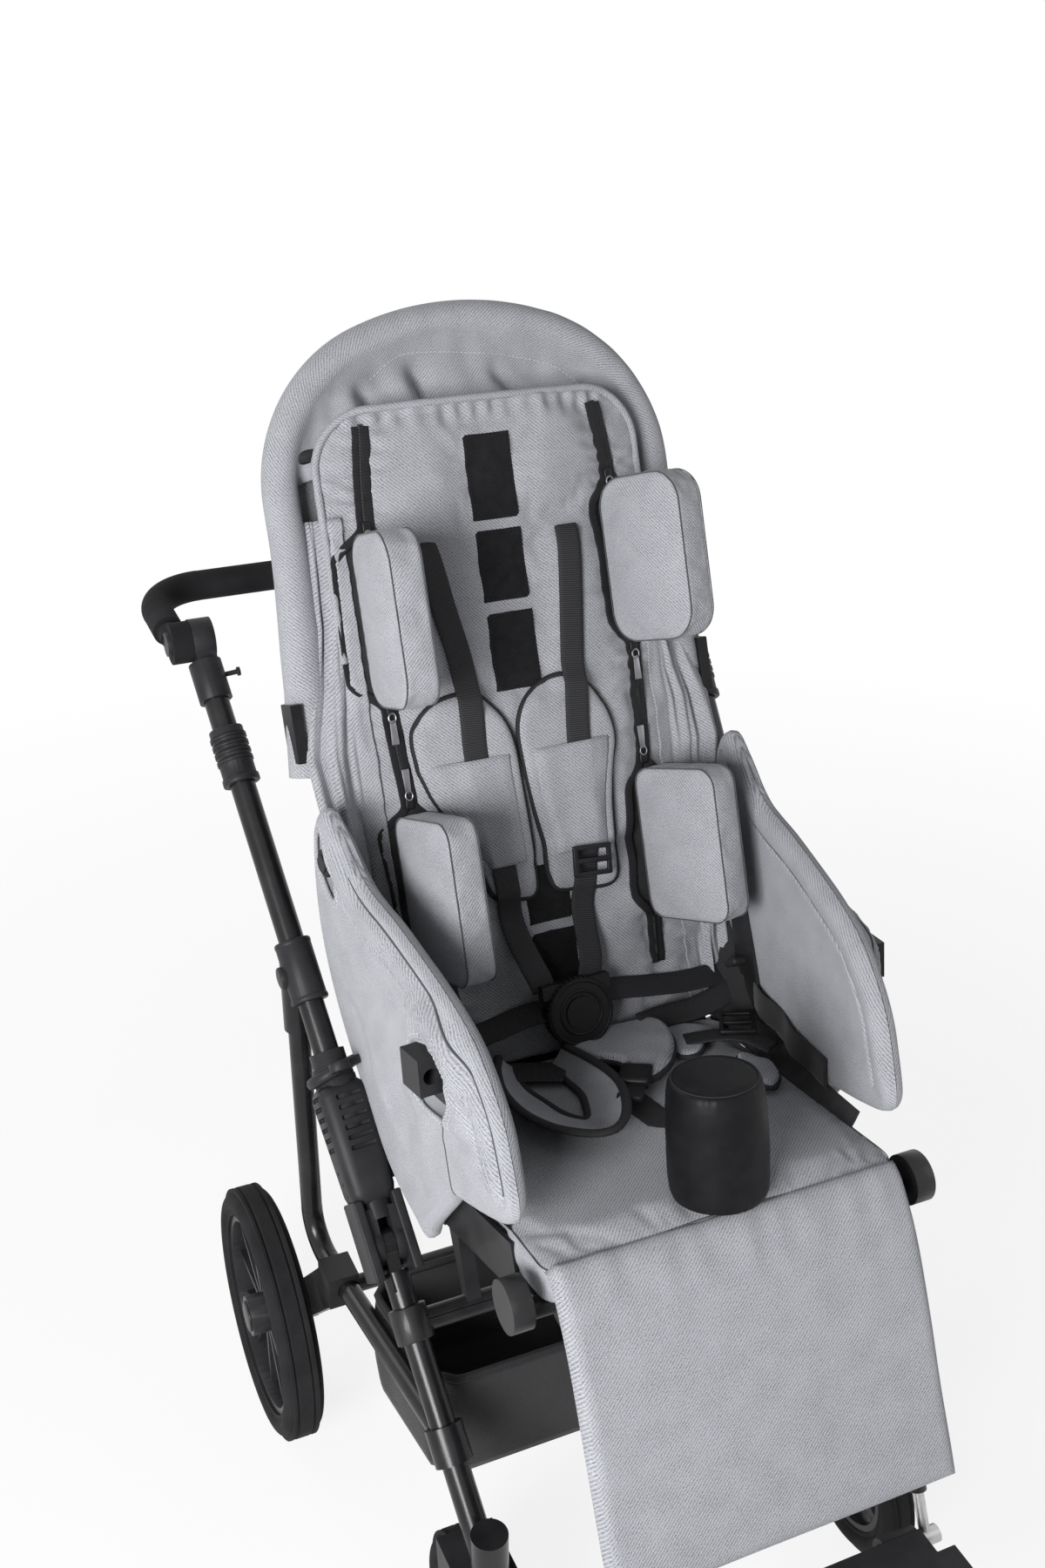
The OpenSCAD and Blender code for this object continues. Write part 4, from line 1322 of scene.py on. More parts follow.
    def zip_slider(self, name: str, side: Side, height: float, hang: int) -> None:
        """Slider with its pull tab.

        Args:
            name: Name of the piece.
            side: Side of the zip.
            height: Where the slider sits along the back.
            hang: 1 where the tab lies up the back and -1 where it hangs down.
        """
        spot = np.array([[side.value * float(self.zip_x(height)), height, 0.0]])
        seat_on = Place(tuple(self.laid(spot, 0.002)[0]), BACK.across, BACK.along, BACK.out)
        body = cube(name, (0.009, 0.011, 0.005), (0, 0, 0.0015))
        apply_modifier(body, "BEVEL", width=0.0018, segments=3)
        ring = primitive("ring", bpy.ops.mesh.primitive_torus_add, major_radius=0.004, minor_radius=0.001,
                         major_segments=20, minor_segments=8)
        set_coordinates(ring, coordinates(ring) * (0.9, 1.1, 1.0) + (0, hang * 0.008, 0.004))
        tab = cube("tab", (0.008, 0.024, 0.0018))
        shape = coordinates(tab)
        shape[:, 0] *= 1 - 0.25 * (shape[:, 1] * hang < 0)
        set_coordinates(tab, shape + (0, hang * 0.022, 0.0035))
        apply_modifier(tab, "BEVEL", width=0.0008, segments=2)
        for part, finish in ((body, BLACK_PLASTIC), (ring, GUNMETAL), (tab, GUNMETAL)):
            part.data.materials.append(finish.material())
        slider = joined((body, ring, tab))
        set_coordinates(slider, seat_on.at(coordinates(slider)))
        select_only(slider)
        bpy.ops.object.shade_smooth_by_angle(angle=math.radians(40))
        dress(slider, "backrest")


@dataclass
class Hoop:
    """The fabric roll round the hoop, with the hollow band from it down to the cushion."""

    depth: float = -0.05
    roll_r: float = 0.0175
    roll_turn: tuple[float, float] = (-125.0, 128.0)
    flare: float = 0.004
    edge_low: float = 0.5
    side_x: float = 0.194
    corner_x: float = 0.046
    corner_r: float = 0.148
    corner_l: float = 0.579
    crest_r: float = 0.283
    crest_l: float = 0.452
    foot_l: float = 0.372
    sewn: Line = (
        (-0.092, 0.684), (-0.066, 0.702), (-0.042, 0.706), (0.011, 0.702), (0.056, 0.695), (0.101, 0.681),
        (0.137, 0.65))
    folds: tuple[Line, ...] = (
        ((-0.052, 0.712), (-0.036, 0.656)), ((0.03, 0.694), (0.06, 0.65)), ((-0.108, 0.69), (-0.094, 0.65)),
        ((0.13, 0.672), (0.134, 0.64)))
    pad: BackPad = field(default_factory=BackPad)

    def path(self) -> Points:
        """Middle of the roll in across and along, from the right foot to the left one."""
        crest = math.atan2(self.corner_l - self.crest_l, self.corner_x)
        turn, top = np.linspace(math.pi, math.pi - crest, 40), np.linspace(math.pi - crest, math.pi / 2, 24)
        corner = arc((-self.corner_x, self.corner_l), self.corner_r, turn)
        arch = arc((0.0, self.crest_l), self.crest_r, top)
        foot = [(-self.side_x - 0.008, self.foot_l - 0.05), (-self.side_x, self.foot_l + 0.03)]
        return evenly(mirrored_path(np.vstack((foot, corner, arch[1:]))), 0.005)

    def pad_edge(self, share: Points) -> Points:
        """Edge of the cushion behind its piping, at shares of the way from side to side."""
        inset, corner = 0.01, 0.05
        x, top = self.pad.half - inset, self.pad.high - inset
        bend = arc((-x + corner, top - corner), corner, np.linspace(math.pi, math.pi / 2, 16))
        whole = mirrored_path(np.vstack(([(-x, self.edge_low)], bend, [(0.0, top)])))
        run = lengths(whole)
        return sampled(share, run / run[-1], whole)

    def build(self) -> None:
        """Make the roll with its band."""
        path = self.path()
        ahead = unit(np.gradient(path, axis=0))
        outward = np.stack((-ahead[:, 1], ahead[:, 0]), axis=1)
        run = lengths(path)
        half = len(path) // 2
        low = np.interp(self.edge_low, path[:half, 1], run[:half])
        gap = self.pad_edge(np.clip((run - low) / (run[-1] - 2 * low), 0, 1)) - path
        reach, slide = (gap * outward).sum(1), (gap * ahead).sum(1)
        banded = ease((path[:, 1] - 0.585) / 0.05)
        roll = self.roll(ease((0.55 - path[:, 1]) / 0.17))
        section = np.concatenate((roll, self.band(roll, reach, banded)), axis=1)
        drift = slide[:, None] * banded[:, None] * ease(self.down)
        drift = np.concatenate((np.zeros(roll.shape[:2]), drift), axis=1)
        flat = path[:, None] + section[..., :1] * outward[:, None] + drift[..., None] * ahead[:, None]
        local = np.dstack((flat, self.depth + section[..., 1]))
        local[..., 2] += self.creases(local, banded, roll.shape[1], len(self.down))
        weave = rows_and_columns(lengths(local[half]), run)
        cover = cloth_piece("hoop_cover", GREY_TWILL, BACK.at(local), weave, 0.0016)
        bpy.ops.object.shade_smooth()
        dress(cover, "backrest", "back_roll", slot="grey_fabric", fill=0.5)
        line = evenly(smooth_curve(self.sewn, 12), 0.003)
        thread = Panelwork()
        stitch_row(thread, Surface(cover).path(BACK, line, 0.0003), BACK.out, pitch=0.0046)
        dress(thread.piece("hoop_stitches", GREY_THREAD), "backrest")

    @property
    def down(self) -> Points:
        """Shares of the way down the band, one for each of its columns."""
        return np.linspace(0, 1, 22)[1:]

    def roll(self, low: Points) -> Points:
        """Section of the roll at each point of its path, out and up.

        Args:
            low: How much of the wider low end each point of the path has.

        Returns:
            Points of the sections, in columns round the roll.
        """
        turn = np.radians(np.linspace(*self.roll_turn, 30))
        more = self.flare * low[:, None]
        radius = self.roll_r + more
        return np.stack((radius * np.cos(turn) + more, radius * np.sin(turn)), axis=-1)

    def band(self, roll: Points, reach: Points, banded: Points) -> Points:
        """Section of the band that leaves the roll, which is tucked in where there is no band.

        Args:
            roll: Sections of the roll.
            reach: How far out the cushion's edge is from each point of the path.
            banded: How much of a band each point of the path has.

        Returns:
            Points of the sections, in columns down the band.
        """
        start, end = roll[:, -1], math.radians(self.roll_turn[1])
        tangent = np.array([-math.sin(end), math.cos(end)])
        radius, share = start[:, 1] / math.sin(end), banded[:, None]
        tuck = np.stack((-0.35 * radius, -1.05 * radius), axis=1)
        goal = np.stack((reach, np.full(len(reach), 0.014)), axis=1)
        target = tuck + (goal - tuck) * share
        span = np.linalg.norm(target - start, axis=1)[:, None]
        leave = start + 0.42 * span * tangent
        arrive = target + 0.4 * span * between(np.array([-0.8, 0.3]), np.array([1.0, -0.55]), share)
        t = self.down
        weights = ((1 - t) ** 3, 3 * t * (1 - t) ** 2, 3 * t * t * (1 - t), t**3)
        return sum(w[None, :, None] * p[:, None] for w, p in zip(weights, (start, leave, arrive, target)))

    def creases(self, local: Points, banded: Points, rolled: int, hung: int) -> Points:
        """Soft folds of the band and slight dents of the roll.

        Args:
            local: Local points of the cover.
            banded: How much of a band each row has.
            rolled: Number of columns round the roll.
            hung: Number of columns down the band.

        Returns:
            How far each point moves out.
        """
        across = np.concatenate((np.zeros(rolled), np.sin(np.linspace(0, math.pi, hung)) ** 0.8))
        spread = local[..., :2] * (1.0, 0.35)
        folds = 0.0034 * ripple(spread, 0.05, 11) + 0.0016 * ripple(spread, 0.02, 5)
        deep = np.zeros(local.shape[:2])
        for high, low in self.folds:
            way = np.array(low) - np.array(high)
            size = np.linalg.norm(way)
            part = local[..., :2] - np.array(high)
            down = (part @ way) / size**2
            side = (part[..., 0] * way[1] - part[..., 1] * way[0]) / size
            deep += ease(down / 0.7) * (0.007 * bell(side, 0.017, 0.013) - 0.015 * bell(side, 0.0, 0.008))
        reach = np.concatenate((np.zeros(rolled), ease(np.linspace(0, 2.5, hung))))
        return banded[:, None] * (across * folds + reach * deep) + 0.0006 * ripple(local, 0.05, 3)


@dataclass
class Wing:
    """A padded side wing: rolled edge, gathered band, plain panel and two hemmed cut-outs."""

    side: Side
    outline: Line = (
        (-0.034, 0.298), (-0.06, 0.262), (-0.066, 0.175), (-0.036, 0.086), (0.04, -0.026), (0.104, -0.068),
        (0.116, -0.0745), (0.1215, -0.073), (0.132, -0.056), (0.178, -0.01), (0.187, 0.002), (0.195, 0.005),
        (0.24, 0.013), (0.276, 0.022), (0.291, 0.032), (0.295, 0.05), (0.288, 0.083), (0.279, 0.112),
        (0.262, 0.14), (0.234, 0.17), (0.2, 0.19), (0.16, 0.207), (0.1, 0.228), (0.04, 0.246),
        (-0.004, 0.282))
    front_foot: tuple[float, float] = (0.29, 0.03)
    knob_hole: Line = (
        (-0.036, 0.279), (-0.026, 0.264), (-0.016, 0.244), (-0.012, 0.218), (-0.022, 0.214), (-0.036, 0.226),
        (-0.047, 0.246), (-0.046, 0.266))
    socket_hole: Line = (
        (0.16, 0.144), (0.178, 0.151), (0.2, 0.148), (0.213, 0.132), (0.214, 0.108), (0.206, 0.088),
        (0.19, 0.08), (0.172, 0.086), (0.16, 0.102), (0.155, 0.124))
    notch_seam: Line = ((0.186, 0.078), (0.184, 0.054), (0.187, 0.03), (0.191, 0.008))
    hub: tuple[float, float] = (0.1, 0.12)
    middle: float = 0.01
    half: float = 0.0105
    edge_r: float = 0.0125
    outer_seam: float = 0.0125
    band_seam: float = 0.042
    inner_seam: float = 0.026
    inner_groove: tuple[float, float] = (0.0035, 0.0024)
    outer_groove: tuple[float, float] = (0.0044, 0.0042)
    band_groove: tuple[float, float] = (0.0026, 0.0036)
    inner_roll: float = 0.0022
    band_swell: float = 0.0028
    gather_depth: float = 0.0048
    gather_pitch: float = 0.0165
    gathers_from: float = 0.066
    pocket_at: tuple[float, float] = (0.186, 0.13)
    pocket_half: tuple[float, float] = (0.06, 0.062)
    pocket_slope: float = 0.026
    pocket_rise: float = 0.0105
    drape_depth: tuple[float, float] = (0.0042, 0.0018)

    def rings(self) -> tuple[Points, Points, Points, Points]:
        """Skin of one face in rings from the edge to the middle.

        Returns:
            Points of the face, their distance from the edge, their place along the edge, and how much of the
            rolled edge and gathers the nearest edge has.
        """
        edge = evenly(smooth_curve(self.outline, 12, closed=True), 0.0036)
        run = lengths(edge)
        foot = run[np.linalg.norm(edge - np.array(self.front_foot), axis=1).argmin()]
        top = ease((run - foot) / 0.03) * ease((0.99 - run / run[-1]) / 0.03)
        inward = np.array(self.hub) - edge
        reach = np.linalg.norm(inward, axis=1)
        near = np.concatenate((np.linspace(0, 0.012, 9), np.arange(0.0142, 0.068, 0.0022)))
        share = np.linspace(0, 0.985, 26)[1:]
        steps = np.vstack((np.repeat(near[:, None], len(edge), 1),
                           near[-1] + (reach[None] - near[-1]) * share[:, None]))
        flat = edge[None] + inward[None] / reach[None, :, None] * steps[..., None]
        away, nearest = np.empty(flat.shape[:2]), np.empty(flat.shape[:2], int)
        for k, row in enumerate(flat):
            gap = np.linalg.norm(row[:, None] - edge[None], axis=-1)
            away[k], nearest[k] = gap.min(1), gap.argmin(1)
        return flat, away, run[nearest], top[nearest]

    def swell(self, flat: Points, away: Points, along: Points, top: Points, outer: bool) -> Points:
        """Half thickness of one face.

        Args:
            flat: Points of the face.
            away: Their distance from the edge.
            along: Their place along the edge.
            top: How much of the rolled edge each has.
            outer: True for the outer face.

        Returns:
            How far the skin stands from the middle of the wing.
        """
        rise = np.clip(away / self.edge_r, 0, 1)
        level = self.half * rounded(rise)
        if not outer:
            deep, wide = self.inner_groove
            groove = deep * bell(away, self.inner_seam, wide) * np.clip(top * 1.4, 0, 1)
            roll = self.inner_roll * bell(away, 0.013, 0.011) * top
            return level + roll - groove + 0.0011 * ripple(flat, 0.09, 21) * rise
        deep, wide = self.outer_groove
        groove = deep * bell(away, self.outer_seam, wide) * top
        deep, wide = self.band_groove
        second = deep * bell(away, self.band_seam, wide) * top
        span = (away - self.outer_seam) / (self.band_seam - self.outer_seam)
        belly = np.clip(np.sin(np.clip(span, 0, 1) * math.pi), 0, 1) * top
        line = np.stack((along, np.zeros(along.shape)), -1)
        phase = 2.2 * ripple(line, 0.05, 4)
        lively = np.clip(0.25 + 0.75 * ripple(line, 0.16, 9), 0.05, 1.0)
        crest = np.sin(along * math.tau / self.gather_pitch + 1.6 * phase)
        forward = ease((flat[..., 0] - self.gathers_from) / 0.03)
        gathers = self.gather_depth * belly * lively * forward * (np.abs(crest) ** 1.5 - 0.4)
        pocket = ease((away - 0.002) / 0.013)
        for axis, (centre, reach) in enumerate(zip(self.pocket_at, self.pocket_half)):
            pocket = pocket * ease((reach - np.abs(flat[..., axis] - centre)) / self.pocket_slope)
        panel = ease((away - self.band_seam) / 0.02)
        large, small = self.drape_depth
        drape = panel * (large * ripple(flat * (1.0, 0.5), 0.085, 13) + small * ripple(flat, 0.04, 2))
        return level - groove - second + self.band_swell * belly + gathers + drape + self.pocket_rise * pocket

    def build(self) -> None:
        """Make the wing with its cut-outs, hems and stitches, and dark cords that paint the shadow in its
        seam grooves.
        """
        name = f"wing_{self.side.word}"
        place = WING.on(self.side)
        flat, away, along, top = self.rings()
        work = Panelwork()
        for outer, hand in ((True, -1), (False, 1)):
            depth = self.middle + hand * self.swell(flat, away, along, top, outer)
            grid = place.at(np.dstack((depth, flat)))
            angle = np.arccos(np.clip(1 - away / self.edge_r, 0, 1))
            outward = unit(flat[0] - flat[1])
            weave = wrapped(flat + (self.edge_r * (math.pi / 2 - angle - np.cos(angle)))[..., None] * outward)
            work.panel(grid, weave, wrap=True)
            work.fan(grid[-1], weave[-2:])
        wing = work.piece(name + "_cover", GREY_TWILL)
        skin = Surface(wing)
        for hole, floor in ((self.knob_hole, 0.05), (self.socket_hole, 0.013)):
            self.cut(wing, place, hole, floor)
        bpy.ops.object.shade_smooth_by_angle(angle=math.radians(50))
        dress(wing, "seat", name, slot="grey_fabric", fill=0.4)
        self.hems(name, place, skin)
        self.seams(name, place, flat, away, along, top)

    def cut(self, wing: Piece, place: Place, hole: Sequence[Sequence[float]], floor: float) -> None:
        """Cut one opening into the wing, down to a depth."""
        ring = smooth_curve(hole, 6, closed=True)
        tool = Panelwork()
        ends = [place.at(np.column_stack((np.full(len(ring), t), ring))) for t in (-0.03, floor)]
        weave = np.zeros((2, len(ring) + 1, 2))
        tool.panel(np.stack(ends), weave, wrap=True)
        for end in ends:
            tool.fan(end, weave)
        cutter = tool.piece("cutter", SEAM_SHADE)
        apply_modifier(wing, "BOOLEAN", object=cutter, operation="DIFFERENCE", solver="EXACT")
        bpy.data.objects.remove(cutter)

    def hems(self, name: str, place: Place, skin: Surface) -> None:
        """Turned hems round the cut-outs, rows of stitches outside them, and a dark cord from hole to notch
        that paints the shadow of the seam there.
        """
        face = place.outside()
        paths, thread = [], Panelwork()
        for hole in (self.knob_hole, self.socket_hole):
            ring = evenly(smooth_curve(hole, 8, closed=True), 0.003)
            paths.append(skin.path(face, ring, -0.001))
            stitch_row(thread, skin.path(face, ring + 0.006 * unit(ring - ring.mean(0)), 0.0002), face.out)
        dress(cord_piece(f"{name}_hems", paths, face.out, 0.0042, GREY_TWILL), "seat")
        dress(thread.piece(f"{name}_hem_stitches", GREY_THREAD), "seat")
        line = skin.path(face, evenly(smooth_curve(self.notch_seam, 10), 0.003), 0.0)
        # A dark cord paints the shadow in the seam groove from the hole to the notch.
        dress(cord_piece(f"{name}_notch_seam", [line], face.out, 0.0015, SEAM_SHADE, closed=False), "seat")

    def seams(self, name: str, place: Place, flat: Points, away: Points, along: Points, top: Points) -> None:
        """Dark cords in the grooves of the rolled edge, painted shadow of the seams there."""
        paths = []
        whole = (-1.0, 1.0)
        lines = (
            (self.outer_seam, True, -1, whole, 0.0002),
            (self.band_seam, True, -1, (0.075, 0.185), -0.0004),
            (self.inner_seam, False, 1, whole, 0.0002),
        )
        for level, outer, hand, (rear, front), lift in lines:
            depth = self.middle + hand * (self.swell(flat, away, along, top, outer) + lift)
            columns = np.flatnonzero((top[0] > 0.5) & (flat[0, :, 0] > rear) & (flat[0, :, 0] < front))
            spots = np.empty((len(columns), 3))
            for k, column in enumerate(columns):
                spots[k] = [np.interp(level, away[:40, column], v[:40, column])
                            for v in (depth, flat[..., 0], flat[..., 1])]
            paths.append(place.at(spots))
        dress(cord_piece(f"{name}_seams", paths, place.across, 0.0026, SEAM_SHADE, closed=False), "seat")


@dataclass
class SeatCushion:
    """The seat cushion, its front fold and the panel that runs on down the legrest."""

    half: float = 0.1695
    front: float = 0.31
    rear: float = -0.005
    top: float = 0.004
    low: float = -0.042
    crown: float = 1.2
    fold: Line = (
        (0.306, 0.0), (0.318, -0.004), (0.332, -0.022), (0.3547, -0.0792), (0.38, -0.1735), (0.4057, -0.2695))
    panel_half: float = 0.168
    skin: Surface = field(init=False)

    def level(self, flat: Points) -> Points:
        """Height of the top at local points about the middle of the cushion."""
        reach = (self.front - self.rear) / 2
        nose = np.clip((flat[..., 1] - reach + 0.03) / 0.03, 0, 1)
        return self.top - flat[..., 0] ** 2 / (2 * self.crown) - 0.007 * nose**2

    def build(self) -> None:
        """Make the cushion and the leg panel."""
        middle = (self.front + self.rear) / 2
        deep = self.front - self.rear
        pad = BoxedPad("seat_cushion_cover", SEAT.moved((0, middle, 0)), 2 * self.half, deep, self.level,
                       lambda flat: np.full(flat.shape[:2], self.low), 0.012, 0.02, 0.0052,
                       filling=Filling(pressure=3.0, spare=0.03, cap=0.007))
        cover = dress(pad.build(), "seat", "seat_cushion", slot="grey_fabric", fill=0.6)
        self.skin = Surface(cover)
        # A dark cord paints the shadow along the seam round the cushion's top.
        dress(pad.seams("seat_cushion_seams", both=False), "seat")
        self.leg_panel()

    def leg_panel(self) -> None:
        """Padded panel from the front of the seat, over the knee and down the legrest."""
        path = evenly(smooth_curve(self.fold, 14), 0.005)
        slope = unit(np.gradient(path, axis=0))
        normal = np.stack((-slope[:, 1], slope[:, 0]), axis=1)
        x = np.linspace(-1, 1, 69) * self.panel_half
        run = lengths(path)
        spread = rows_and_columns(x, run)
        edge = np.minimum(self.panel_half - np.abs(spread[..., 0]), np.minimum(run, run[-1] - run)[:, None])
        soft = rounded(edge / 0.012)
        gathers = bell(run, 0.03, 0.03)[:, None] * ripple(spread * (1.0, 0.3), 0.03, 8)
        wave = 0.0011 * ripple(spread * (0.5, 1.0), 0.09, 31) + 0.0016 * gathers
        work = Panelwork()
        for hand, base in ((1, 0.012), (-1, 0.011)):
            rise = (base * soft + (wave if hand > 0 else 0.0) * soft) * hand - 0.012
            lift = path[:, None] + normal[:, None] * rise[..., None]
            grid = SEAT.at(np.dstack((np.repeat(x[None], len(path), 0), lift)))
            work.panel(grid, spread)
        panel = work.piece("leg_panel", GREY_TWILL)
        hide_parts("calf_cushion")
        upper, lower = (SEAT.at((0, *self.fold[k])).tolist() for k in (1, 3))
        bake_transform(panel)
        LOG.info("%s bends from seat to legrest", panel.name)


@dataclass
class Pommel:
    """The padded pommel: a leatherette drum with a sewn lid, on an enamelled stem."""

    middle: float = 0.293
    stem: float = 0.285
    radius: float = 0.0428
    foot: float = 0.005
    side: Line = (
        (0.0, 0.0), (0.02, 0.0), (0.0365, 0.0004), (0.0405, 0.003), (0.0425, 0.009), (0.0433, 0.02),
        (0.0436, 0.04), (0.0432, 0.062), (0.0424, 0.084), (0.0415, 0.096), (0.0402, 0.1035), (0.0385, 0.1078),
        (0.0362, 0.1088), (0.034, 0.1096), (0.0305, 0.1112), (0.02, 0.1128), (0.0, 0.1134))
    lid_r: float = 0.0366
    lid_high: float = 0.1091

    def build(self) -> None:
        """Make the drum, its sewn ring and its stem."""
        turn = full_turn(160)
        line = evenly(np.array(self.side), 0.0016)
        height = np.repeat(line[:, 1:], len(turn), 1)
        sewn = bell(line[:, 1], 0.108, 0.006) + bell(line[:, 1], 0.004, 0.006) * (line[:, 0] > 0.03)
        spot = np.stack((np.cos(turn), np.sin(turn)), -1)
        pucker = 0.0007 * np.sin(34 * turn + 2 * ripple(spot, 1.2, 3)) * np.clip(ripple(spot, 0.7, 6), 0, 1)
        around = spot[None] * np.ones((len(line), 1, 1)) * 0.04
        soft = 0.0007 * ripple(np.dstack((around, height)), 0.06, 17)
        grown = np.where(line[:, :1] > 0.002, line[:, :1] + pucker[None] * sewn[:, None] + soft, 0.0)
        local = np.dstack((grown * np.cos(turn), self.middle + grown * np.sin(turn), self.foot + height))
        work = Panelwork()
        weave = rows_and_columns(np.append(turn, math.tau) * self.radius, lengths(line))
        work.panel(SEAT.at(local), weave, wrap=True)
        dress(work.piece("pommel_drum", POMMEL_COVER), "pommel", "pommel", slot="pommel_cover", fill=0.8)
        lid = SEAT.moved((0.0, self.middle, self.foot + self.lid_high))
        ring = lid.at(levelled(arc((0.0, 0.0), self.lid_r, turn)))
        dress(cord_piece("pommel_seam", [ring], SEAT.out, 0.0014, BLACK_BINDING), "pommel")
        post = primitive("pommel_stem", bpy.ops.mesh.primitive_cylinder_add, vertices=40, radius=0.01,
                         depth=0.085)
        set_coordinates(post, SEAT.at(coordinates(post) + (0.0, self.stem, -0.034)))
        post.data.materials.append(SATIN_ENAMEL.material())
        tidy_mesh(post)
        dress(post, "pommel")


@dataclass
class CutPad:
    """A flat pad cut to an outline, laid on a skin, with bound edges."""

    name: str
    place: Place
    outline: Points
    hub: tuple[float, float]
    thick: float = 0.009
    bound: float = 0.009

    def grid(self, skin: Surface, lift: float) -> tuple[Points, Points]:
        """Top and underside of the pad, in rings on a skin.

        Args:
            skin: What the pad lies on.
            lift: Height of its underside above the skin.

        Returns:
            Local points of the top and of the underside.
        """
        edge = evenly(smooth_curve(self.outline, 10, closed=True), 0.004)
        share = np.concatenate((np.linspace(0, 0.2, 7), np.linspace(0.2, 0.97, 12)[1:]))
        flat = edge[None] + (np.array(self.hub) - edge)[None] * share[:, None, None]
        under = skin.lay(self.place, levelled(flat), lift, floor=-0.02)
        under[..., 2] = np.minimum(under[..., 2], np.median(under[..., 2]) + 0.02)
        puff = rounded(share / 0.16)
        top = under.copy()
        top[..., 2] += (0.0025 + (self.thick - 0.0025) * puff)[:, None]
        top[..., 2] += puff[:, None] * 0.0008 * ripple(flat, 0.04, 12)
        return top, under

    def build(self, skin: Surface, body: str, nodes: Sequence[str] = (),
              lift: float = 0.001) -> Piece:
        """Make the pad and its binding.

        Args:
            skin: What the pad lies on.
            body: Body that it moves with.
            nodes: Nodes that it stands for.
            lift: Height above the skin.

        Returns:
            The pad.
        """
        top, under = self.grid(skin, lift)
        work = Panelwork()
        for layer in (top, under):
            weave = wrapped(layer)[..., :2]
            work.panel(self.place.at(layer), weave, wrap=True)
            work.fan(self.place.at(layer[-1]), weave[-2:])
        pad = dress(work.piece(self.name, GREY_TWILL), body, *nodes, slot="grey_fabric", fill=0.5)
        rim = (top[0] + under[0]) / 2 + (0, 0, 0.0006)
        rim[:, :2] += unit(np.array(self.hub) - rim[:, :2]) * self.bound * 0.3
        binding = cord_piece(f"{self.name}_binding", [self.place.at(rim)], self.place.out, self.bound,
                             BLACK_BINDING, self.thick * 0.75)
        dress(binding, body)
        return pad


def taut(level: Points, rounds: int) -> None:
    """Lift dips in heights along the last axis, in place, as a stretched cloth bridges them."""
    for _ in range(rounds):
        level[..., 1:-1] = np.maximum(level[..., 1:-1], 0.5 * (level[..., :-2] + level[..., 2:]))


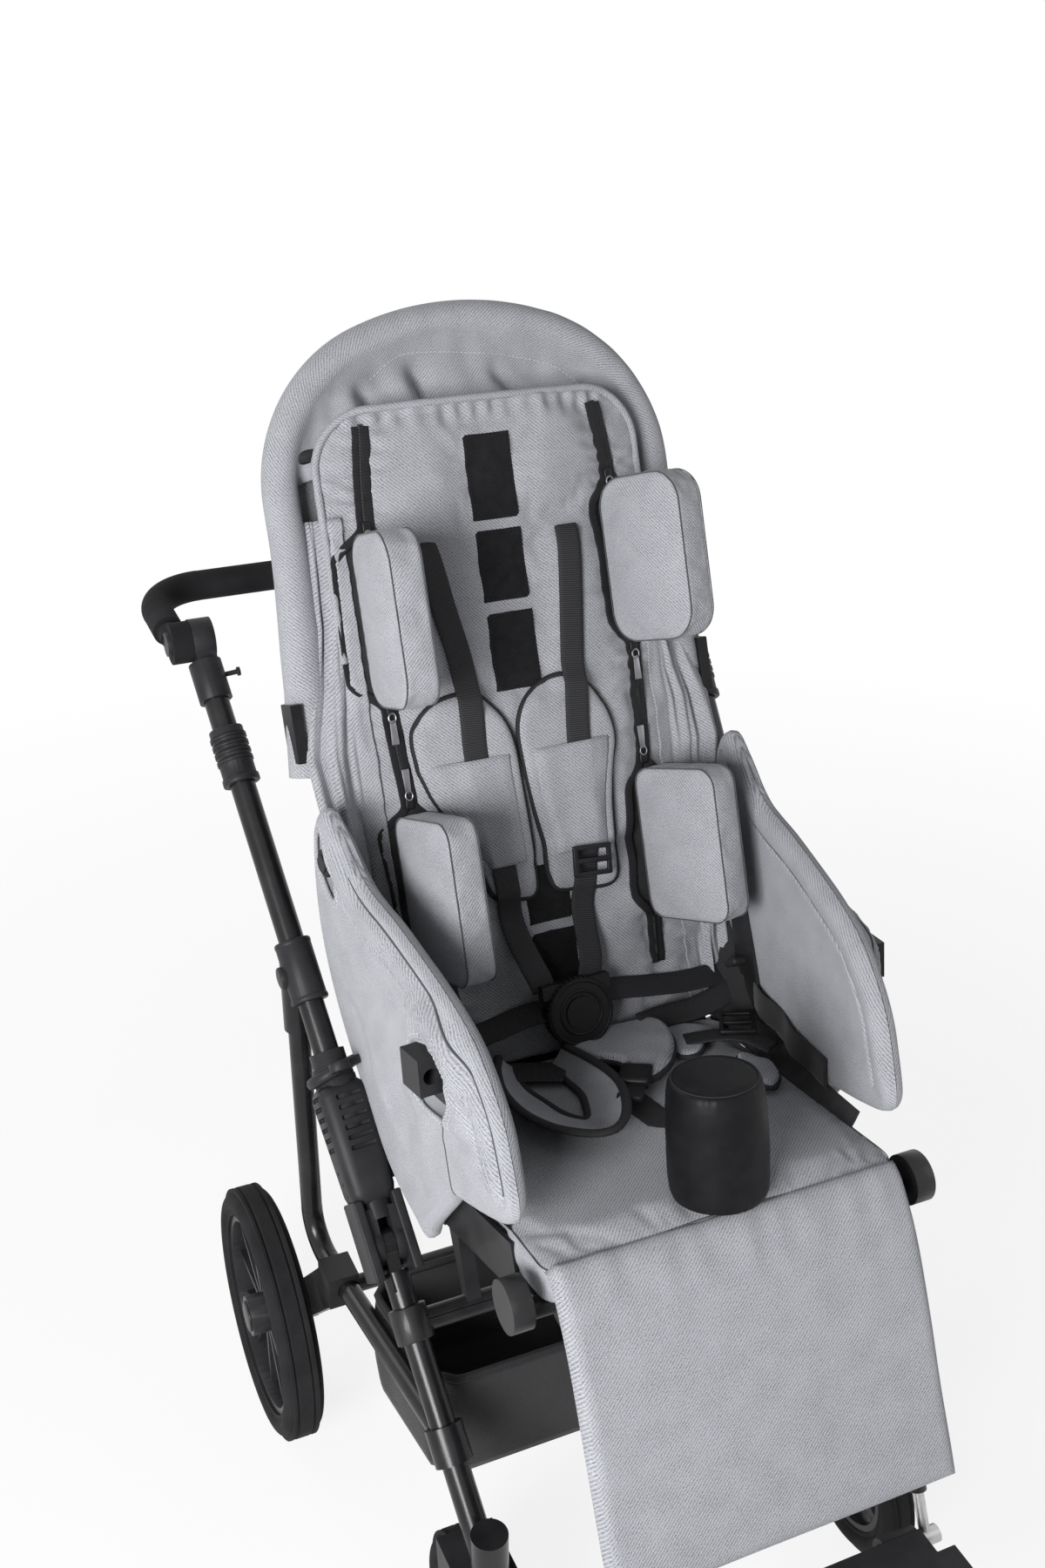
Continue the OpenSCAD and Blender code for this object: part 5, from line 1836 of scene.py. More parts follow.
@dataclass
class Harness:
    """Shoulder pads with their sleeves, and the shoulder webbing."""

    back: BackPad
    outlines: tuple[Line, ...] = (
        ((-0.05, 0.379), (-0.082, 0.379), (-0.104, 0.367), (-0.115, 0.348), (-0.115, 0.32), (-0.106, 0.288),
         (-0.088, 0.25), (-0.068, 0.205), (-0.056, 0.178), (-0.03, 0.172), (-0.014, 0.176), (-0.014, 0.22),
         (-0.016, 0.28), (-0.018, 0.325), (-0.028, 0.355)),
        ((0.044, 0.384), (0.018, 0.378), (-0.003, 0.362), (-0.012, 0.34), (-0.012, 0.31), (-0.008, 0.261),
         (0.0, 0.216), (0.006, 0.176), (0.034, 0.17), (0.07, 0.17), (0.075, 0.2), (0.078, 0.245),
         (0.084, 0.285), (0.091, 0.316), (0.085, 0.345), (0.068, 0.371)))
    routes: tuple[Line, ...] = (
        ((-0.079, 0.533), (-0.069, 0.47), (-0.058, 0.4), (-0.06, 0.314), (-0.049, 0.22), (-0.041, 0.13),
         (-0.03, 0.085)),
        ((0.071, 0.533), (0.063, 0.45), (0.053, 0.37), (0.046, 0.3), (0.042, 0.215), (0.028, 0.12),
         (0.018, 0.085)))
    pocket: tuple[float, float] = (0.216, 0.317)
    web: float = 0.025
    buckle_out: float = 0.0235

    def build(self) -> None:
        """Make every piece of the harness."""
        pads = []
        for side, outline, hub in zip(Side, self.outlines, ((-0.06, 0.29), (0.04, 0.29))):
            nodes = ("shoulder_pads",) if side is Side.RIGHT else ()
            pad = CutPad(f"shoulder_pad_{side.word}", BACK, np.array(outline), hub)
            pads.append(pad.build(self.back.skin, "backrest", nodes))
        straps = self.straps(Surface(*pads, bpy.data.objects["back_pad_cover"]))
        skin = Surface(*pads, straps)
        for side, outline in zip(Side, self.outlines):
            self.sleeve(side, outline, skin)

    def sleeve(self, side: Side, outline: Sequence[Sequence[float]], skin: Surface) -> None:
        """Cloth sleeve on a shoulder pad that the strap runs under."""
        low, high = self.pocket
        rows, cols = 40, 27
        shape = smooth_curve(outline, 10, closed=True)
        height = np.linspace(low - 0.006, high, rows)
        flat = np.empty((rows, cols, 2))
        for k, level in enumerate(height):
            near = shape[np.abs(shape[:, 1] - level) < 0.006, 0]
            x = np.linspace(near.min() + 0.01, near.max() - 0.01, cols)
            flat[k] = np.column_stack((x, np.full(cols, level)))
        laid = skin.lay(BACK, levelled(flat), 0.0012)
        taut(laid[..., 2], 10)
        across = np.linspace(-1, 1, cols)
        tuck = ease((1 - np.abs(across)) / 0.25)[None] * np.ones((rows, 1))
        laid[..., 2] += 0.0012 * tuck - 0.0012 * (1 - tuck)
        laid[..., 2] += 0.0007 * ripple(laid[..., :2] * (0.4, 1.0), 0.035, 41 + side.value) * tuck
        cloth = cloth_piece(f"shoulder_sleeve_{side.word}", GREY_TWILL, BACK.at(laid), flat, 0.0012)
        edge = BACK.at(laid[-2])
        hem = cord_piece(f"shoulder_sleeve_hem_{side.word}", [edge], BACK.out, 0.0026, GREY_TWILL, 0.0018,
                         closed=False)
        dress(hem, "backrest")
        dress(cloth, "backrest")

    def straps(self, skin: Surface) -> Piece:
        """Webbing of both shoulders, from the slots down to the buckle."""
        work = Panelwork()
        for route in self.routes:
            line = evenly(smooth_curve(np.array(route), 12), 0.004)
            laid = skin.lay(BACK, levelled(line), 0.0016, floor=0.0)
            level = laid[:, 2]
            taut(level, 6)
            level[:3] -= (0.012, 0.007, 0.002)
            rise = ease((0.16 - line[:, 1]) / 0.07)
            level += rise * np.maximum(self.buckle_out + 0.004 - level, 0)
            swept(work, BACK.at(laid), BACK.out, flat_section(self.web, 0.0021))
        straps = work.piece("shoulder_webbing", BLACK_WEBBING)
        return dress(straps, "backrest", "harness_straps", slot="black_fabric")


def plain_solid(name: str, finish: Finish, place: Place, *, size: Sequence[float] = (), radius: float = 0.0,
                depth: float = 0.0, bevel: float = 0.0008) -> Piece:
    """A bevelled block or disc.

    Args:
        name: Name of the piece.
        finish: Its finish.
        place: Frame in its middle.
        size: Size of a block along the frame's three directions.
        radius: Radius of a disc that faces out.
        depth: Thickness of the disc.
        bevel: Width of the rounded edges.

    Returns:
        The new object.
    """
    if size:
        made = cube(name, size)
    else:
        made = primitive(name, bpy.ops.mesh.primitive_cylinder_add, vertices=48, radius=radius, depth=depth)
    apply_modifier(made, "BEVEL", width=bevel, segments=3, limit_method="ANGLE")
    return set_in(made, place, finish, 35.0)


def ladder_frame(name: str, place: Place, width: float, length: float) -> Piece:
    """Strap adjuster: a flat frame with a bar across its middle.

    Args:
        name: Name of the piece.
        place: Frame in its middle, its face out.
        width: Size across.
        length: Size along.

    Returns:
        The new object.
    """
    made = primitive(name, bpy.ops.mesh.primitive_plane_add, size=1.0)
    set_coordinates(made, coordinates(made) * (width, length, 1.0))
    bpy.ops.object.mode_set(mode="EDIT")
    bpy.ops.mesh.select_all(action="SELECT")
    bpy.ops.mesh.inset(thickness=0.0048)
    bpy.ops.mesh.delete(type="FACE")
    bpy.ops.mesh.select_all(action="SELECT")
    bpy.ops.mesh.extrude_region_move(TRANSFORM_OT_translate={"value": (0.0, 0.0, 0.0042)})
    bpy.ops.mesh.primitive_cube_add(size=1.0, location=(0.0, 0.0, 0.002))
    bpy.ops.transform.resize(value=(width * 0.94, 0.0055, 0.0046), center_override=(0.0, 0.0, 0.002))
    bpy.ops.object.mode_set(mode="OBJECT")
    apply_modifier(made, "BEVEL", width=0.0012, segments=3, limit_method="ANGLE")
    return set_in(made, place, BLACK_PLASTIC, 40.0)


@dataclass
class LapHarness:
    """Hip pads, lap webbing with its adjusters, and the trim of the round buckle."""

    seat: SeatCushion
    hip: Line = (
        (-0.018, 0.024), (0.019, 0.011), (0.06, 0.007), (0.088, 0.01), (0.092, 0.032), (0.082, 0.066),
        (0.056, 0.104), (0.022, 0.122), (0.014, 0.08), (-0.008, 0.058))
    rear: Line = (
        (0.1, 0.006), (0.15, 0.0), (0.163, 0.02), (0.127, 0.052), (0.1, 0.078), (0.082, 0.07))
    tip: Line = (
        (0.132, 0.1), (0.15, 0.108), (0.156, 0.124), (0.15, 0.148), (0.128, 0.172), (0.118, 0.15))
    loop_out: Line = (
        (-0.086, 0.02), (-0.1, 0.05), (-0.11, 0.094), (-0.106, 0.148), (-0.082, 0.189), (-0.053, 0.202),
        (-0.027, 0.177), (-0.008, 0.125), (-0.011, 0.073), (-0.021, 0.03))
    loop_in: Line = (
        (-0.066, 0.014), (-0.075, 0.046), (-0.072, 0.082), (-0.064, 0.118), (-0.054, 0.138), (-0.046, 0.136),
        (-0.04, 0.12), (-0.033, 0.094), (-0.034, 0.06), (-0.038, 0.03))
    lap_left: tuple[Spot, ...] = (
        (0.022, 0.07, 0.026), (0.05, 0.066, 0.016), (0.09, 0.058, 0.008), (0.135, 0.05, -0.002),
        (0.185, 0.046, -0.014))
    lap_right: tuple[Spot, ...] = (
        (-0.022, 0.064, 0.026), (-0.05, 0.06, 0.015), (-0.09, 0.05, 0.006), (-0.135, 0.044, -0.004),
        (-0.185, 0.04, -0.014))
    hip_left: tuple[Spot, ...] = (
        (0.07, 0.02, 0.03), (0.105, 0.008, 0.026), (0.14, 0.004, 0.024), (0.188, -0.004, 0.03))
    hip_right: tuple[Spot, ...] = (
        (-0.15, 0.0, 0.018), (-0.11, 0.014, 0.018), (-0.066, 0.03, 0.017), (-0.03, 0.052, 0.018))
    tail: tuple[Spot, ...] = (
        (0.1, 0.052, 0.018), (0.13, 0.062, 0.02), (0.155, 0.08, 0.02), (0.17, 0.104, 0.014))
    middle_strap: tuple[Spot, ...] = (
        (0.0, 0.01, 0.02), (0.0, 0.05, 0.02), (0.004, 0.11, 0.012), (0.01, 0.17, 0.0102),
        (0.012, 0.235, 0.009))
    web: float = 0.025
    hip_web: float = 0.04
    middle_web: float = 0.032
    bend_x: tuple[float, float] = (0.03, 0.1)
    bend_l: float = 0.05

    def build(self) -> None:
        """Make the lap harness."""
        skin = self.seat.skin
        rear = CutPad("hip_pad_rear", SEAT, np.array(self.rear), (0.122, 0.036), 0.008, 0.008)
        rear.build(skin, "seat", lift=0.004)
        tip = CutPad("hip_pad_tip", SEAT, np.array(self.tip), (0.138, 0.132), 0.009, 0.008)
        tip.build(skin, "seat", lift=0.006)
        hip = CutPad("hip_pad_left", SEAT, np.array(self.hip), (0.045, 0.05), 0.011, 0.009)
        hip.build(skin, "seat", ("lap_harness",), lift=0.013)
        self.loop()
        self.webbing()
        self.adjusters()
        self.buckle_trim()

    def loop(self) -> None:
        """The right hip pad, curled on the seat with its outer edge up."""
        count = 70
        lines = [evenly(smooth_curve(np.array(line), 10), 0.001) for line in (self.loop_out, self.loop_in)]
        outer, inner = (line[np.linspace(0, len(line) - 1, count).round().astype(int)] for line in lines)
        share = np.linspace(0, 1, 15)
        flat = between(inner[:, None], outer[:, None], share[None, :, None])
        height = 0.0135 + 0.021 * share**1.6
        edge = np.sqrt(np.clip(1 - np.abs(2 * share - 1) ** 4, 0, 1))
        top = np.dstack((flat, np.repeat((height + 0.0035 * edge)[None], count, 0)))
        under = np.dstack((flat, np.repeat((height - 0.0035 * edge)[None], count, 0)))
        top[..., 2] += 0.0008 * ripple(flat, 0.04, 77)
        weave = rows_and_columns(share * 0.05, lengths(outer))
        work = Panelwork()
        work.panel(SEAT.at(top), weave)
        work.panel(SEAT.at(under), weave, coat=1)
        pad = work.piece("hip_pad_right", GREY_TWILL, BLACK_TWILL)
        dress(pad, "seat", slot="grey_fabric", fill=0.4)
        edges = [SEAT.at((top[:, k] + under[:, k]) / 2) for k in (0, -1)]
        binding = cord_piece("hip_pad_right_binding", edges, SEAT.out, 0.0095, BLACK_BINDING, 0.0065,
                             closed=False)
        dress(binding, "seat")

    def strap(self, work: Panelwork, points: Sequence[Points], up: Points, width: float) -> None:
        """A length of webbing through points of the buggy."""
        path = evenly(smooth_curve(np.array(points), 12), 0.004)
        swept(work, path, up, flat_section(width, 0.002))

    def webbing(self) -> None:
        """Straps of the seat, and lap straps from the buckle to both sides."""
        lean, up = np.array(SEAT.out) + np.array(BACK.out), np.array(SEAT.out)
        left, right, seat = Panelwork(), Panelwork(), Panelwork()
        self.strap(left, BACK.at(self.lap_left), lean, self.web)
        self.strap(left, SEAT.at(self.hip_left), lean, self.web)
        self.strap(right, BACK.at(self.lap_right), lean, self.web)
        # The wide right hip strap is partly real webbing and partly painted shade on the seat between the
        # wing and the buckle.
        self.strap(right, SEAT.at(self.hip_right), up, self.hip_web)
        self.strap(seat, SEAT.at(self.tail), up, self.web)
        self.strap(seat, SEAT.at(self.middle_strap), up, self.middle_web)
        dress(seat.piece("lap_webbing", BLACK_WEBBING), "seat", slot="black_fabric")
        for work, side in ((left, Side.LEFT), (right, Side.RIGHT)):
            strap = work.piece(f"lap_strap_{side.word}", BLACK_WEBBING)
            ends = [BACK.at((side.value * x, self.bend_l, 0.0)).tolist() for x in self.bend_x]
            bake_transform(strap)

    def adjusters(self) -> None:
        """Strap adjusters and the side-release clip."""
        on_lap = SEAT.turned((0.158, 0.056, 0.022), 28.0)
        dress(ladder_frame("lap_adjuster", on_lap, 0.036, 0.046), "seat")
        on_shoulder = BACK.turned((0.041, 0.2, 0.0205), -4.0)
        dress(ladder_frame("shoulder_adjuster", on_shoulder, 0.041, 0.031), "backrest")
        clip = SEAT.turned((0.012, 0.118, 0.032), 35.0)
        halves = (
            ("lap_clip_body", clip, (0.03, 0.034, 0.011), 0.003),
            ("lap_clip_tongue", clip.moved((0.0, 0.028, -0.002)), (0.024, 0.03, 0.007), 0.002),
        )
        for name, place, size, bevel in halves:
            dress(plain_solid(name, BLACK_PLASTIC, place, size=size, bevel=bevel), "seat")

    def buckle_trim(self) -> None:
        """Raised rings of the round buckle and its grip ribs."""
        face = BACK.moved((0.0, 0.058, 0.0415))
        rings = [face.at(levelled(arc((0.0, 0.0), radius, full_turn(72)))) for radius in (0.0215, 0.0315)]
        dress(cord_piece("buckle_rings", rings, BACK.out, 0.0032, BLACK_PLASTIC, 0.0024), "seat")
        ribs = Panelwork()
        for angle in full_turn(40):
            spot = np.array((0.0341 * math.cos(angle), 0.0341 * math.sin(angle)))
            path = face.at(np.array([(*spot, -0.016), (*spot, -0.009), (*spot, -0.002)]))
            away = face.turn((math.cos(angle), math.sin(angle), 0.0))
            swept(ribs, path, away, round_section(0.0026, 0.0022, 6))
        dress(ribs.piece("buckle_ribs", BLACK_PLASTIC), "seat")


@dataclass
class Linings:
    """Cloth between the cushions, the hoop and the wings, the rear panel and the wing straps."""

    thick: float = 0.0012
    low: float = 0.022
    high: float = 0.56
    outer: tuple[Spot, ...] = (
        (0.02, 0.198, -0.012), (0.15, 0.2, -0.016), (0.24, 0.203, -0.01), (0.295, 0.214, -0.012),
        (0.34, 0.215, -0.026), (0.4, 0.198, -0.034), (0.46, 0.185, -0.043), (0.56, 0.18, -0.046))
    trough_line: Line = (
        (0.006, -0.002), (-0.01, -0.007), (-0.026, -0.004), (-0.042, 0.014))
    apron_in: tuple[Spot, ...] = (
        (0.165, -0.022, 0.014), (0.167, 0.0, -0.002), (0.168, 0.04, -0.006), (0.168, 0.1, -0.007),
        (0.167, 0.17, -0.008), (0.165, 0.24, -0.01))
    apron_out: tuple[Spot, ...] = (
        (0.2045, -0.036, 0.1), (0.202, 0.0, 0.056), (0.199, 0.03, 0.024), (0.193, 0.09, 0.008),
        (0.186, 0.16, 0.004), (0.178, 0.24, 0.006))
    strap_line: Line = (
        (-0.03, 0.036), (0.0, 0.032), (0.044, 0.036), (0.097, 0.028), (0.148, 0.021), (0.19, 0.02))
    panel_foot: Line = (
        (0.186, 0.2), (0.178, 0.03), (0.16, 0.008), (-0.16, 0.008), (-0.178, 0.03), (-0.186, 0.2))
    panel_hub: tuple[float, float] = (0.0, 0.38)
    panel_out: float = -0.0625
    cushion_x: float = 0.149
    hoop: Hoop = field(default_factory=Hoop)

    def build(self) -> None:
        """Make the linings and wing straps of both sides, the trough and the rear panel."""
        for side in Side:
            self.side_cloth(side)
            self.apron(side)
            self.wing_strap(side)
        self.trough()
        self.rear_panel()

    def side_cloth(self, side: Side) -> None:
        """Folded cloth from the front of the cushion, over its edge, out to the hoop and the wing."""
        height = np.linspace(self.low, self.high, 108)
        share = np.linspace(0, 1, 40)
        knots = np.array(self.outer)
        end = sampled(height, knots[:, 0], knots[:, 1:])
        rows = np.repeat(height[:, None], len(share), 1)
        flat = self.cushion_x + (end[:, :1] - self.cushion_x) * share
        skin = self.hoop.pad.laid(levelled(np.dstack((side.value * np.minimum(flat, 0.161), rows))), 0.0016)
        level = BACK.local(skin)[..., 2]
        over = ease((flat - 0.158) / (end[:, :1] - 0.158))
        depth = level * (1 - over) + end[:, 1:] * over
        spread = rows_and_columns(share, height)
        hang = ease((flat - 0.16) / 0.012) * ease((1 - share) / 0.1)
        fold = np.sin(share * math.tau * 2.4 + 1.6 * ripple(spread * (0.2, 1.0), 0.16, 5 + side.value))
        depth += hang * (0.0042 * fold + 0.0032 * ripple(spread, 0.12, 8))
        local = np.dstack((side.value * flat, rows, depth))
        weave = np.dstack((flat, rows))
        cloth = cloth_piece(f"side_lining_{side.word}", GREY_TWILL, BACK.at(local), weave, self.thick)
        low, high = BACK.at([(0.0, 0.03, 0.0), (0.0, 0.22, 0.0)])
        self.spread(cloth, self.high - self.low, "back_pad_cover", low, high)

    def apron(self, side: Side) -> None:
        """Black cloth between the seat cushion and the foot of a wing: it stands partly for the black cloth
        and strap there and partly for painted shade in that corner.
        """
        rows = np.linspace(0, 1, 60)
        lines = [evenly(smooth_curve(line, 10), 0.002) for line in (self.apron_in, self.apron_out)]
        inner, outer = (sampled(rows, np.linspace(0, 1, len(line)), line) for line in lines)
        share = np.linspace(0, 1, 9)[None, :, None]
        local = between(inner[:, None], outer[:, None], share)
        local[..., 2] += np.sin(share[..., 0] * math.pi) * (0.002 * ripple(local[..., :2], 0.04, 61) - 0.003)
        local[..., 0] *= side.value
        weave = np.abs(local[..., :2])
        cloth = cloth_piece(f"seat_apron_{side.word}", BLACK_TWILL, SEAT.at(local), weave, self.thick)
        low, high = SEAT.at([(0.0, 0.03, 0.01), (0.0, -0.036, 0.09)])
        self.spread(cloth, 0.29, "seat_cushion_cover", low, high)

    def trough(self) -> None:
        """Cloth from the rear of the seat cushion to the foot of the back."""
        line = evenly(smooth_curve(self.trough_line, 10), 0.003)
        x = np.linspace(-0.166, 0.166, 70)
        local = np.dstack((np.repeat(x[None], len(line), 0), np.repeat(line[:, None], 70, 1)))
        local[..., 2] += 0.0012 * ripple(local[..., :2], 0.05, 66)
        cloth = cloth_piece("seat_trough", BLACK_TWILL, SEAT.at(local), local[..., :2], self.thick)
        ends = [SEAT.at((0.0, *self.trough_line[k])) for k in (0, -1)]
        self.spread(cloth, 0.332, "seat_cushion_cover", *ends)

    def spread(self, cloth: Piece, length: float, rests_on: str, low: Points, high: Points) -> None:
        """Shade a stretched cloth smooth and bake its placing into its mesh."""
        bpy.ops.object.shade_smooth()
        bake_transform(cloth)

    def wing_strap(self, side: Side) -> None:
        """Loose black strap along the foot of a wing's inner face."""
        place = WING.on(side)
        path = evenly(smooth_curve(self.strap_line, 12), 0.004)
        run = lengths(path)
        loose = 0.0245 + 0.003 * np.sin(run * math.tau / 0.07) * np.sin(run / run[-1] * math.pi)
        work = Panelwork()
        swept(work, place.at(np.column_stack((loose, path))), place.across, flat_section(0.031, 0.0019))
        dress(work.piece(f"wing_strap_{side.word}", BLACK_TWILL), "seat")

    def rear_panel(self) -> None:
        """Cloth stretched over the back of the hoop."""
        path = self.hoop.path()
        edge = evenly(np.vstack((path, self.panel_foot, path[:1])), 0.008)[:-1]
        hub = np.array(self.panel_hub)
        share = np.linspace(0, 0.985, 36)
        flat = between(edge[None], hub, share[:, None, None])
        belly = 0.004 * np.sin(share * math.pi / 2)[:, None]
        depth = self.panel_out - belly + 0.0012 * ripple(flat, 0.12, 23)
        grid = BACK.at(np.dstack((flat, depth)))
        cloth = cloth_piece("rear_panel", GREY_TWILL, grid, wrapped(flat), 0.002, offset=1.0, wrap=True)
        dress(cloth, "backrest", "back_shell", slot="grey_fabric")


@dataclass
class Basket:
    """The black cloth basket hung between the lower rails."""

    top: float = 0.2933
    low: float = 0.174
    front: tuple[float, float] = (0.2095, -0.107)
    rear: tuple[float, float] = (0.225, 0.047)
    corner: float = 0.02

    def ring(self) -> Points:
        """Outline of the basket seen from above."""
        right = [(-wide, deep) for wide, deep in (self.front, self.rear)]
        corners = np.array([right[0], self.front, self.rear, right[1]])
        points = []
        for k, spot in enumerate(corners):
            for other in (corners[k - 1], corners[(k + 1) % 4]):
                points.append(spot + unit(other - spot) * self.corner)
        return evenly(np.vstack((points, points[:1])), 0.009)[:-1]

    def build(self) -> None:
        """Make the basket with a bound rim."""
        edge = self.ring()
        hub = edge.mean(0)
        drop = np.linspace(0, 1, 18)
        out = unit(edge - hub)
        belly = np.sin(drop * math.pi)[:, None]
        spread = rows_and_columns(lengths(edge), drop * 0.1)
        push = belly * (0.004 + 0.005 * ripple(spread * (1.0, 0.3), 0.09, 14))
        level = self.top + (self.low - self.top) * drop
        wall = np.dstack((edge[None] + out[None] * push[..., None], np.repeat(level[:, None], len(edge), 1)))
        share = np.linspace(0, 0.96, 14)
        floor = between(edge[None], hub, share[:, None, None])
        sag = self.low - 0.004 * np.sin(share * math.pi / 2)
        floor = np.dstack((floor, np.repeat(sag[:, None], len(edge), 1)))
        whole = np.concatenate((wall, floor[1:]))
        weave = rows_and_columns(lengths(np.vstack((edge, edge[:1]))), np.arange(len(whole)) * 0.007)
        cloth = cloth_piece("basket_cloth", BLACK_TWILL, whole, weave, 0.0016, wrap=True)
        dress(cloth, "chassis", "basket", slot="black_fabric")
        rim = np.column_stack((edge, np.full(len(edge), self.top)))
        dress(cord_piece("basket_rim", [rim], (0, 0, 1), 0.008, BLACK_BINDING), "chassis")


def row_of(first: Block, step: Spot, count: int) -> list[Block]:
    """Blocks of one size in a row, from the first one on in equal steps."""
    middle, size = first
    return [(tuple(np.array(middle) + k * np.array(step)), size) for k in range(count)]


def blocks(name: str, boxes: Sequence[Block]) -> Piece:
    """Several square blocks as one object, each given by its middle and its size."""
    return joined([cube(name, size, middle) for middle, size in boxes])


@dataclass
class FoldJoint:
    """Covers of a fold joint: slotted housing with its webs, lock lever, sleeve beads and boss."""

    side: Side
    pivot: Spot = (-0.2313, -0.0376, 0.4171)
    lean: float = math.radians(41.6)
    splay: float = math.radians(4.56)
    cover_middle: Spot = (0.0, 0.097, -0.002)
    cover_size: Spot = (0.049, 0.118, 0.05)
    cover_bevel: float = 0.013
    slot_step: Spot = (0.0, 0.0098, 0.0)
    side_slot: Block = ((-0.0245, 0.096, 0.001), (0.009, 0.0045, 0.026))
    front_slot: Block = ((0.003, 0.092, 0.023), (0.025, 0.0045, 0.009))
    pit_step: Spot = (0.0, 0.011, -0.004)
    pit: Block = ((-0.0235, 0.052, 0.004), (0.006, 0.0035, 0.0035))
    rear_web: Block = ((0.0, 0.008, -0.0215), (0.04, 0.064, 0.004))
    cheek: Block = ((0.019, 0.0075, -0.001), (0.0095, 0.075, 0.044))
    band_r: float = 0.0235

    def place(self) -> Place:
        """Frame at the pivot: inwards across, up the push tube along, the front out."""
        c, s = math.cos(self.lean), math.sin(self.lean)
        along = unit(np.array((-c * math.sin(self.splay), s, c * math.cos(self.splay))))
        across = unit(np.cross(along, (0.0, -c, s)))
        out = np.cross(across, along)
        return Place(self.pivot, tuple(across), tuple(along), tuple(out)).on(self.side)

    def build(self) -> None:
        """Make the covers of one side."""
        self.housing()
        self.lever()
        self.collars()

    def housing(self) -> None:
        """Rounded housing with two rows of slots and screw pits."""
        name = f"fold_cover_{self.side.word}"
        middle = Place(self.cover_middle, (1, 0, 0), (0, 1, 0), (0, 0, 1))
        cover = plain_solid(name, CHARCOAL, middle, size=self.cover_size, bevel=self.cover_bevel)
        points = coordinates(cover)
        taper = 1 - 0.1 * ease((0.09 - points[:, 1]) / 0.05)
        set_coordinates(cover, points * np.column_stack((taper, np.ones(len(points)), taper)))
        slots = [*row_of(self.side_slot, self.slot_step, 6), *row_of(self.front_slot, self.slot_step, 6)]
        cutter = blocks("cutter", [*slots, *row_of(self.pit, self.pit_step, 3)])
        apply_modifier(cutter, "BEVEL", width=0.0012, segments=2)
        apply_modifier(cover, "BOOLEAN", object=cutter, operation="DIFFERENCE", solver="EXACT")
        bpy.data.objects.remove(cutter)
        (x, *level), size = self.cheek
        cheeks = [((hand * x, *level), size) for hand in (-1, 1)]
        web = blocks(f"fold_web_{self.side.word}", [self.rear_web, *cheeks])
        apply_modifier(web, "BEVEL", width=0.0048, segments=4)
        web.data.materials.append(CHARCOAL.material())
        for piece in (cover, web):
            set_coordinates(piece, self.place().at(coordinates(piece)))
            tidy_mesh(piece)
            bpy.ops.object.shade_smooth_by_angle(angle=math.radians(35))
            dress(piece, "push_frame")

    def lever(self) -> None:
        """Thick band round the lock ring, with its thumb lever."""
        place = self.place()
        turn = full_turn(64)
        tilt = 0.166 + 0.005 * np.cos(turn)
        ring = place.at(np.column_stack((self.band_r * np.cos(turn), tilt, self.band_r * np.sin(turn))))
        name, body = f"lock_lever_{self.side.word}", f"lock_ring_{self.side.word}"
        dress(cord_piece(f"{name}_band", [ring], place.along, 0.0065, CHARCOAL, 0.011), body)
        level = Place(tuple(place.at((0.03, 0.169, 0.024))), place.across, place.out, place.along)
        arm = level.turned((0, 0, 0), 10.0)
        dress(plain_solid(name, CHARCOAL, arm, size=(0.066, 0.019, 0.0085), bevel=0.0035), body)

    def collars(self) -> None:
        """End beads of the leg sleeve and a round boss on it."""
        place = self.place()
        turn = full_turn(56)
        rings = [place.at(np.column_stack((r * np.cos(turn), np.full(len(turn), s), r * np.sin(turn))))
                 for s, r in ((0.239, 0.0172), (0.2945, 0.0168))]
        beads = cord_piece(f"sleeve_beads_{self.side.word}", rings, place.along, 0.0024, CHARCOAL, 0.006)
        dress(beads, "push_frame")
        boss = plain_solid(f"sleeve_boss_{self.side.word}", CHARCOAL, place.outside((-0.018, 0.266, -0.004)),
                           radius=0.011, depth=0.008, bevel=0.002)
        dress(boss, "push_frame")


@dataclass
class Trim:
    """Small fittings: rear wheel caps and the knobs in the wings."""

    rear: Spot = (0.29, 0.212, 0.139)
    knob: tuple[float, float] = (-0.03, 0.247)

    def build(self) -> None:
        """Make the fittings of both sides."""
        for side in Side:
            body = f"rear_wheel_{side.word}"
            middle = (side.value * (self.rear[0] + 0.0255), *self.rear[1:])
            face = Place(middle, (0.0, 1.0, 0.0), (0.0, 0.0, 1.0), (float(side.value), 0.0, 0.0))
            cap = plain_solid(f"{body}_cap", SATIN_ENAMEL, face, radius=0.017, depth=0.004, bevel=0.0015)
            dress(cap, body)
            self.wing_knob(side)

    def wing_knob(self, side: Side) -> None:
        """Round knob in the rear cut-out of a wing."""
        face = WING.on(side).outside((0.004, *self.knob))
        name = f"wing_knob_{side.word}"
        dress(plain_solid(name, BLACK_PLASTIC, face, radius=0.0135, depth=0.012, bevel=0.0025), "seat")
        cap = plain_solid(f"{name}_cap", CHARCOAL, face.moved((0, 0, 0.0065)), radius=0.0085, depth=0.003)
        dress(cap, "seat")


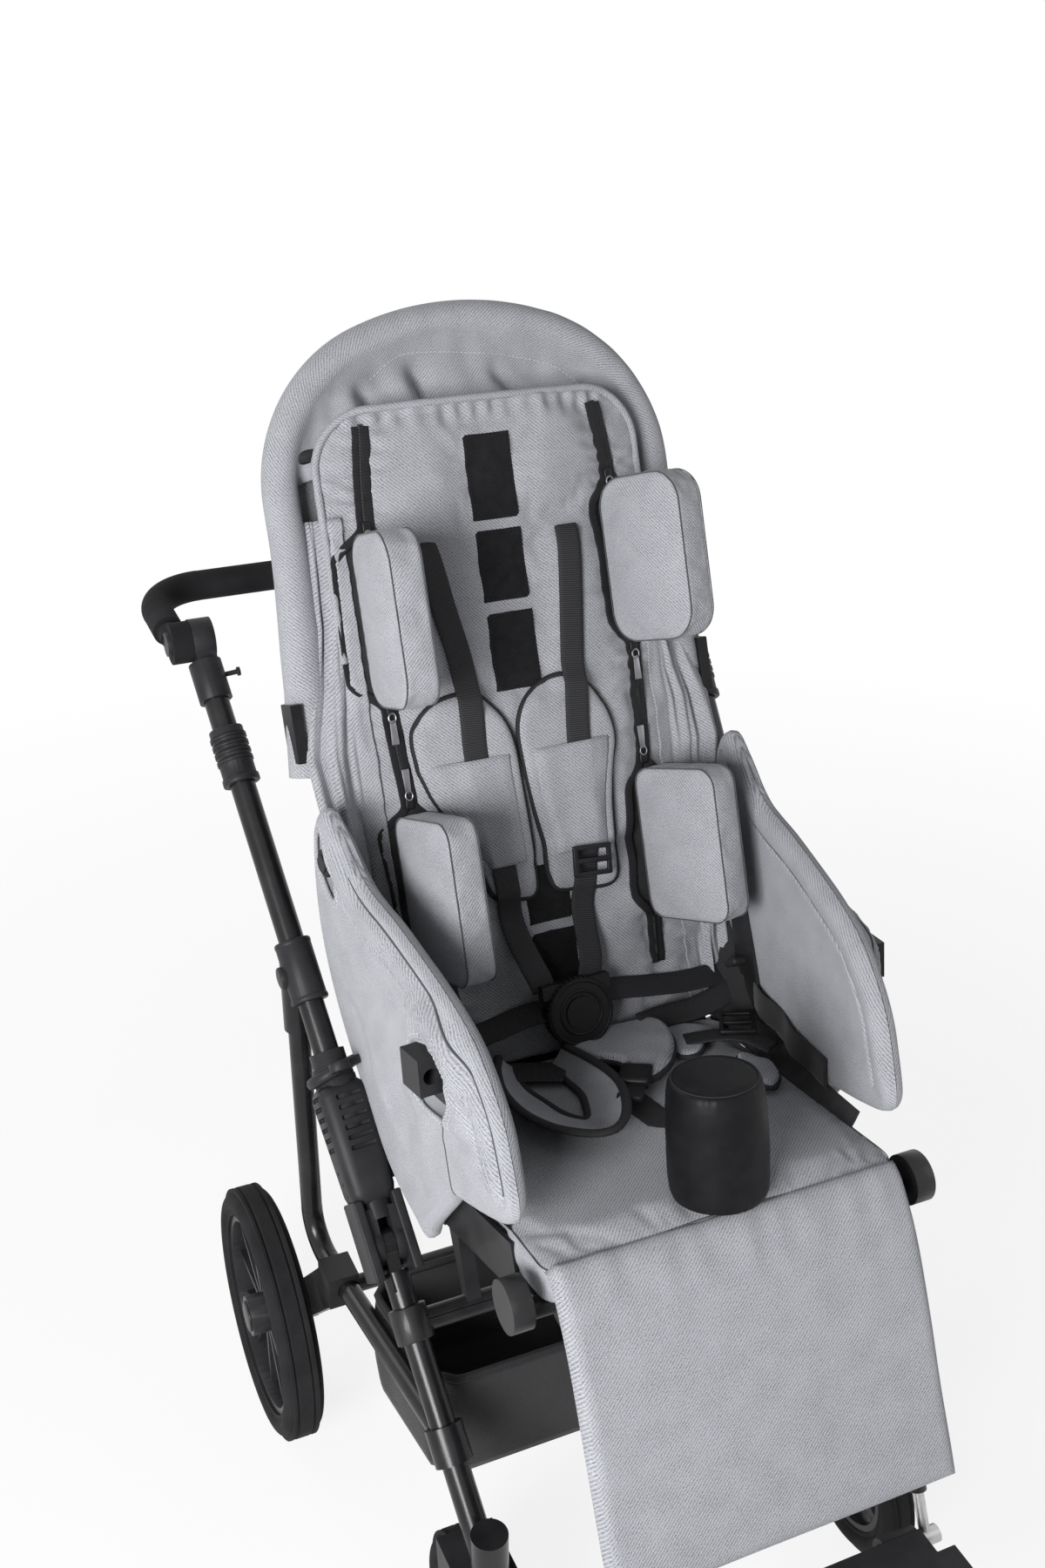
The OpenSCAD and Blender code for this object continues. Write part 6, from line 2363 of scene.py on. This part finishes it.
@dataclass(frozen=True)
class Studio:
    """Camera at the photo's viewing angle, soft lamps and a plain pale floor."""

    eye: Spot = (-0.59761, -1.18121, 1.48592)
    azimuth: float = math.radians(-23.81)
    elevation: float = math.radians(26.37)
    lens: float = 38.16
    sensor: float = 36.0
    aim: Spot = (0.0, 0.1, 0.6)
    fill: float = 0.22
    lamps: tuple[tuple[str, tuple[float, float, float], float, float], ...] = (
        ("key", (-2.1, -1.8, 1.5), 1.2, 112.0),
        ("side", (2.3, -1.3, 1.8), 1.6, 10.0),
        ("rear", (-1.5, 2.0, 2.4), 1.4, 16.0),
    )

    def build(self) -> None:
        """Set up camera, lamps, floor and world."""
        back = Vector((math.sin(self.azimuth) * math.cos(self.elevation),
                       -math.cos(self.azimuth) * math.cos(self.elevation), math.sin(self.elevation)))
        camera = bpy.data.objects.new("camera", bpy.data.cameras.new("camera"))
        camera.data.lens = self.lens
        camera.data.sensor_width = self.sensor
        camera.location = self.eye
        camera.rotation_mode = "QUATERNION"
        camera.rotation_quaternion = (-back).to_track_quat("-Z", "Y")
        bpy.context.scene.collection.objects.link(camera)
        bpy.context.scene.camera = camera
        for name, spot, size, power in self.lamps:
            lamp = bpy.data.objects.new(name, bpy.data.lights.new(name, "AREA"))
            lamp.data.size = size
            lamp.data.energy = power
            lamp.location = spot
            lamp.rotation_euler = (Vector(self.aim) - Vector(spot)).to_track_quat("-Z", "Y").to_euler()
            bpy.context.scene.collection.objects.link(lamp)
        self.floor()
        self.world()
        bpy.context.scene.view_settings.view_transform = "Standard"

    def floor(self) -> None:
        """Pale floor that keeps the shadow and looks white to the camera."""
        plane = primitive("floor", bpy.ops.mesh.primitive_plane_add, size=40.0, location=(0, 0, -0.0005))
        tree = ShaderTree(bpy.data.materials.new("floor_pale"))
        matte = tree.node("ShaderNodeBsdfDiffuse", None, {"Color": (0.9, 0.9, 0.9, 1.0)})
        glow = tree.node("ShaderNodeEmission", None, {"Color": WHITE, "Strength": 1.0})
        seen = tree.seen()
        away = tree.node("ShaderNodeVectorMath", {"operation": "LENGTH"}, {0: tree.place()}).other("Value")
        far = tree.node("ShaderNodeMapRange", None, {"Value": away, "From Min": 0.9, "From Max": 2.4})
        both = tree.node("ShaderNodeMixShader", None, {0: seen * (0.84 + 0.16 * far), 1: matte, 2: glow})
        tree.node("ShaderNodeOutputMaterial", None, {"Surface": both})
        plane.data.materials.append(tree.owner)

    def world(self) -> None:
        """Even soft light, with white where the camera or a reflection sees past the floor."""
        tree = ShaderTree(bpy.data.worlds.new("studio"))
        dim = tree.node("ShaderNodeBackground", None, {"Color": WHITE, "Strength": self.fill})
        white = tree.node("ShaderNodeBackground", None, {"Color": WHITE, "Strength": 1.0})
        seen = tree.seen()
        both = tree.node("ShaderNodeMixShader", None, {0: seen, 1: dim, 2: white})
        tree.node("ShaderNodeOutputWorld", None, {"Surface": both})
        bpy.context.scene.world = tree.owner


def finish_nodes() -> None:
    """Give every node of the frame its finish, with softened edges on the rigid ones."""
    for finish, nodes in NODE_FINISHES.items():
        for name in nodes:
            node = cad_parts[name]
            node.data.materials.clear()
            node.data.materials.append(finish.material())
            node.data.polygons.foreach_set("material_index", np.zeros(len(node.data.polygons), np.int32))
            if finish in SOFT_EDGED:
                node.modifiers.new("weld", "WELD").merge_threshold = WELD_REACH
                edges = node.modifiers.new("edges", "BEVEL")
                edges.width, edges.segments, edges.limit_method = EDGE_WIDTH, 2, "ANGLE"
                edges.angle_limit = EDGE_ANGLE
                edges.harden_normals = True


def main() -> None:
    """Build the buggy's looks in order."""
    logging.basicConfig(level=logging.INFO, format="%(message)s")
    Studio().build()
    finish_nodes()
    pad = BackPad()
    pad.build()
    hoop = Hoop(pad=pad)
    hoop.build()
    for side, inner, toe in ((Side.RIGHT, 0.116, 0.0), (Side.LEFT, 0.1, 18.0)):
        SidePad("head", side, HEAD_HEIGHTS[side], 0.158, inner, toe).build()
        SidePad("trunk", side, 0.203, 0.152, inner, toe or -8.0, corner=0.018).build()
        Wing(side).build()
    seat = SeatCushion()
    seat.build()
    Pommel().build()
    Harness(pad).build()
    LapHarness(seat).build()
    Linings(hoop=hoop).build()
    Basket().build()
    for side in Side:
        FoldJoint(side).build()
    Trim().build()


if __name__ == "__main__":
    main()
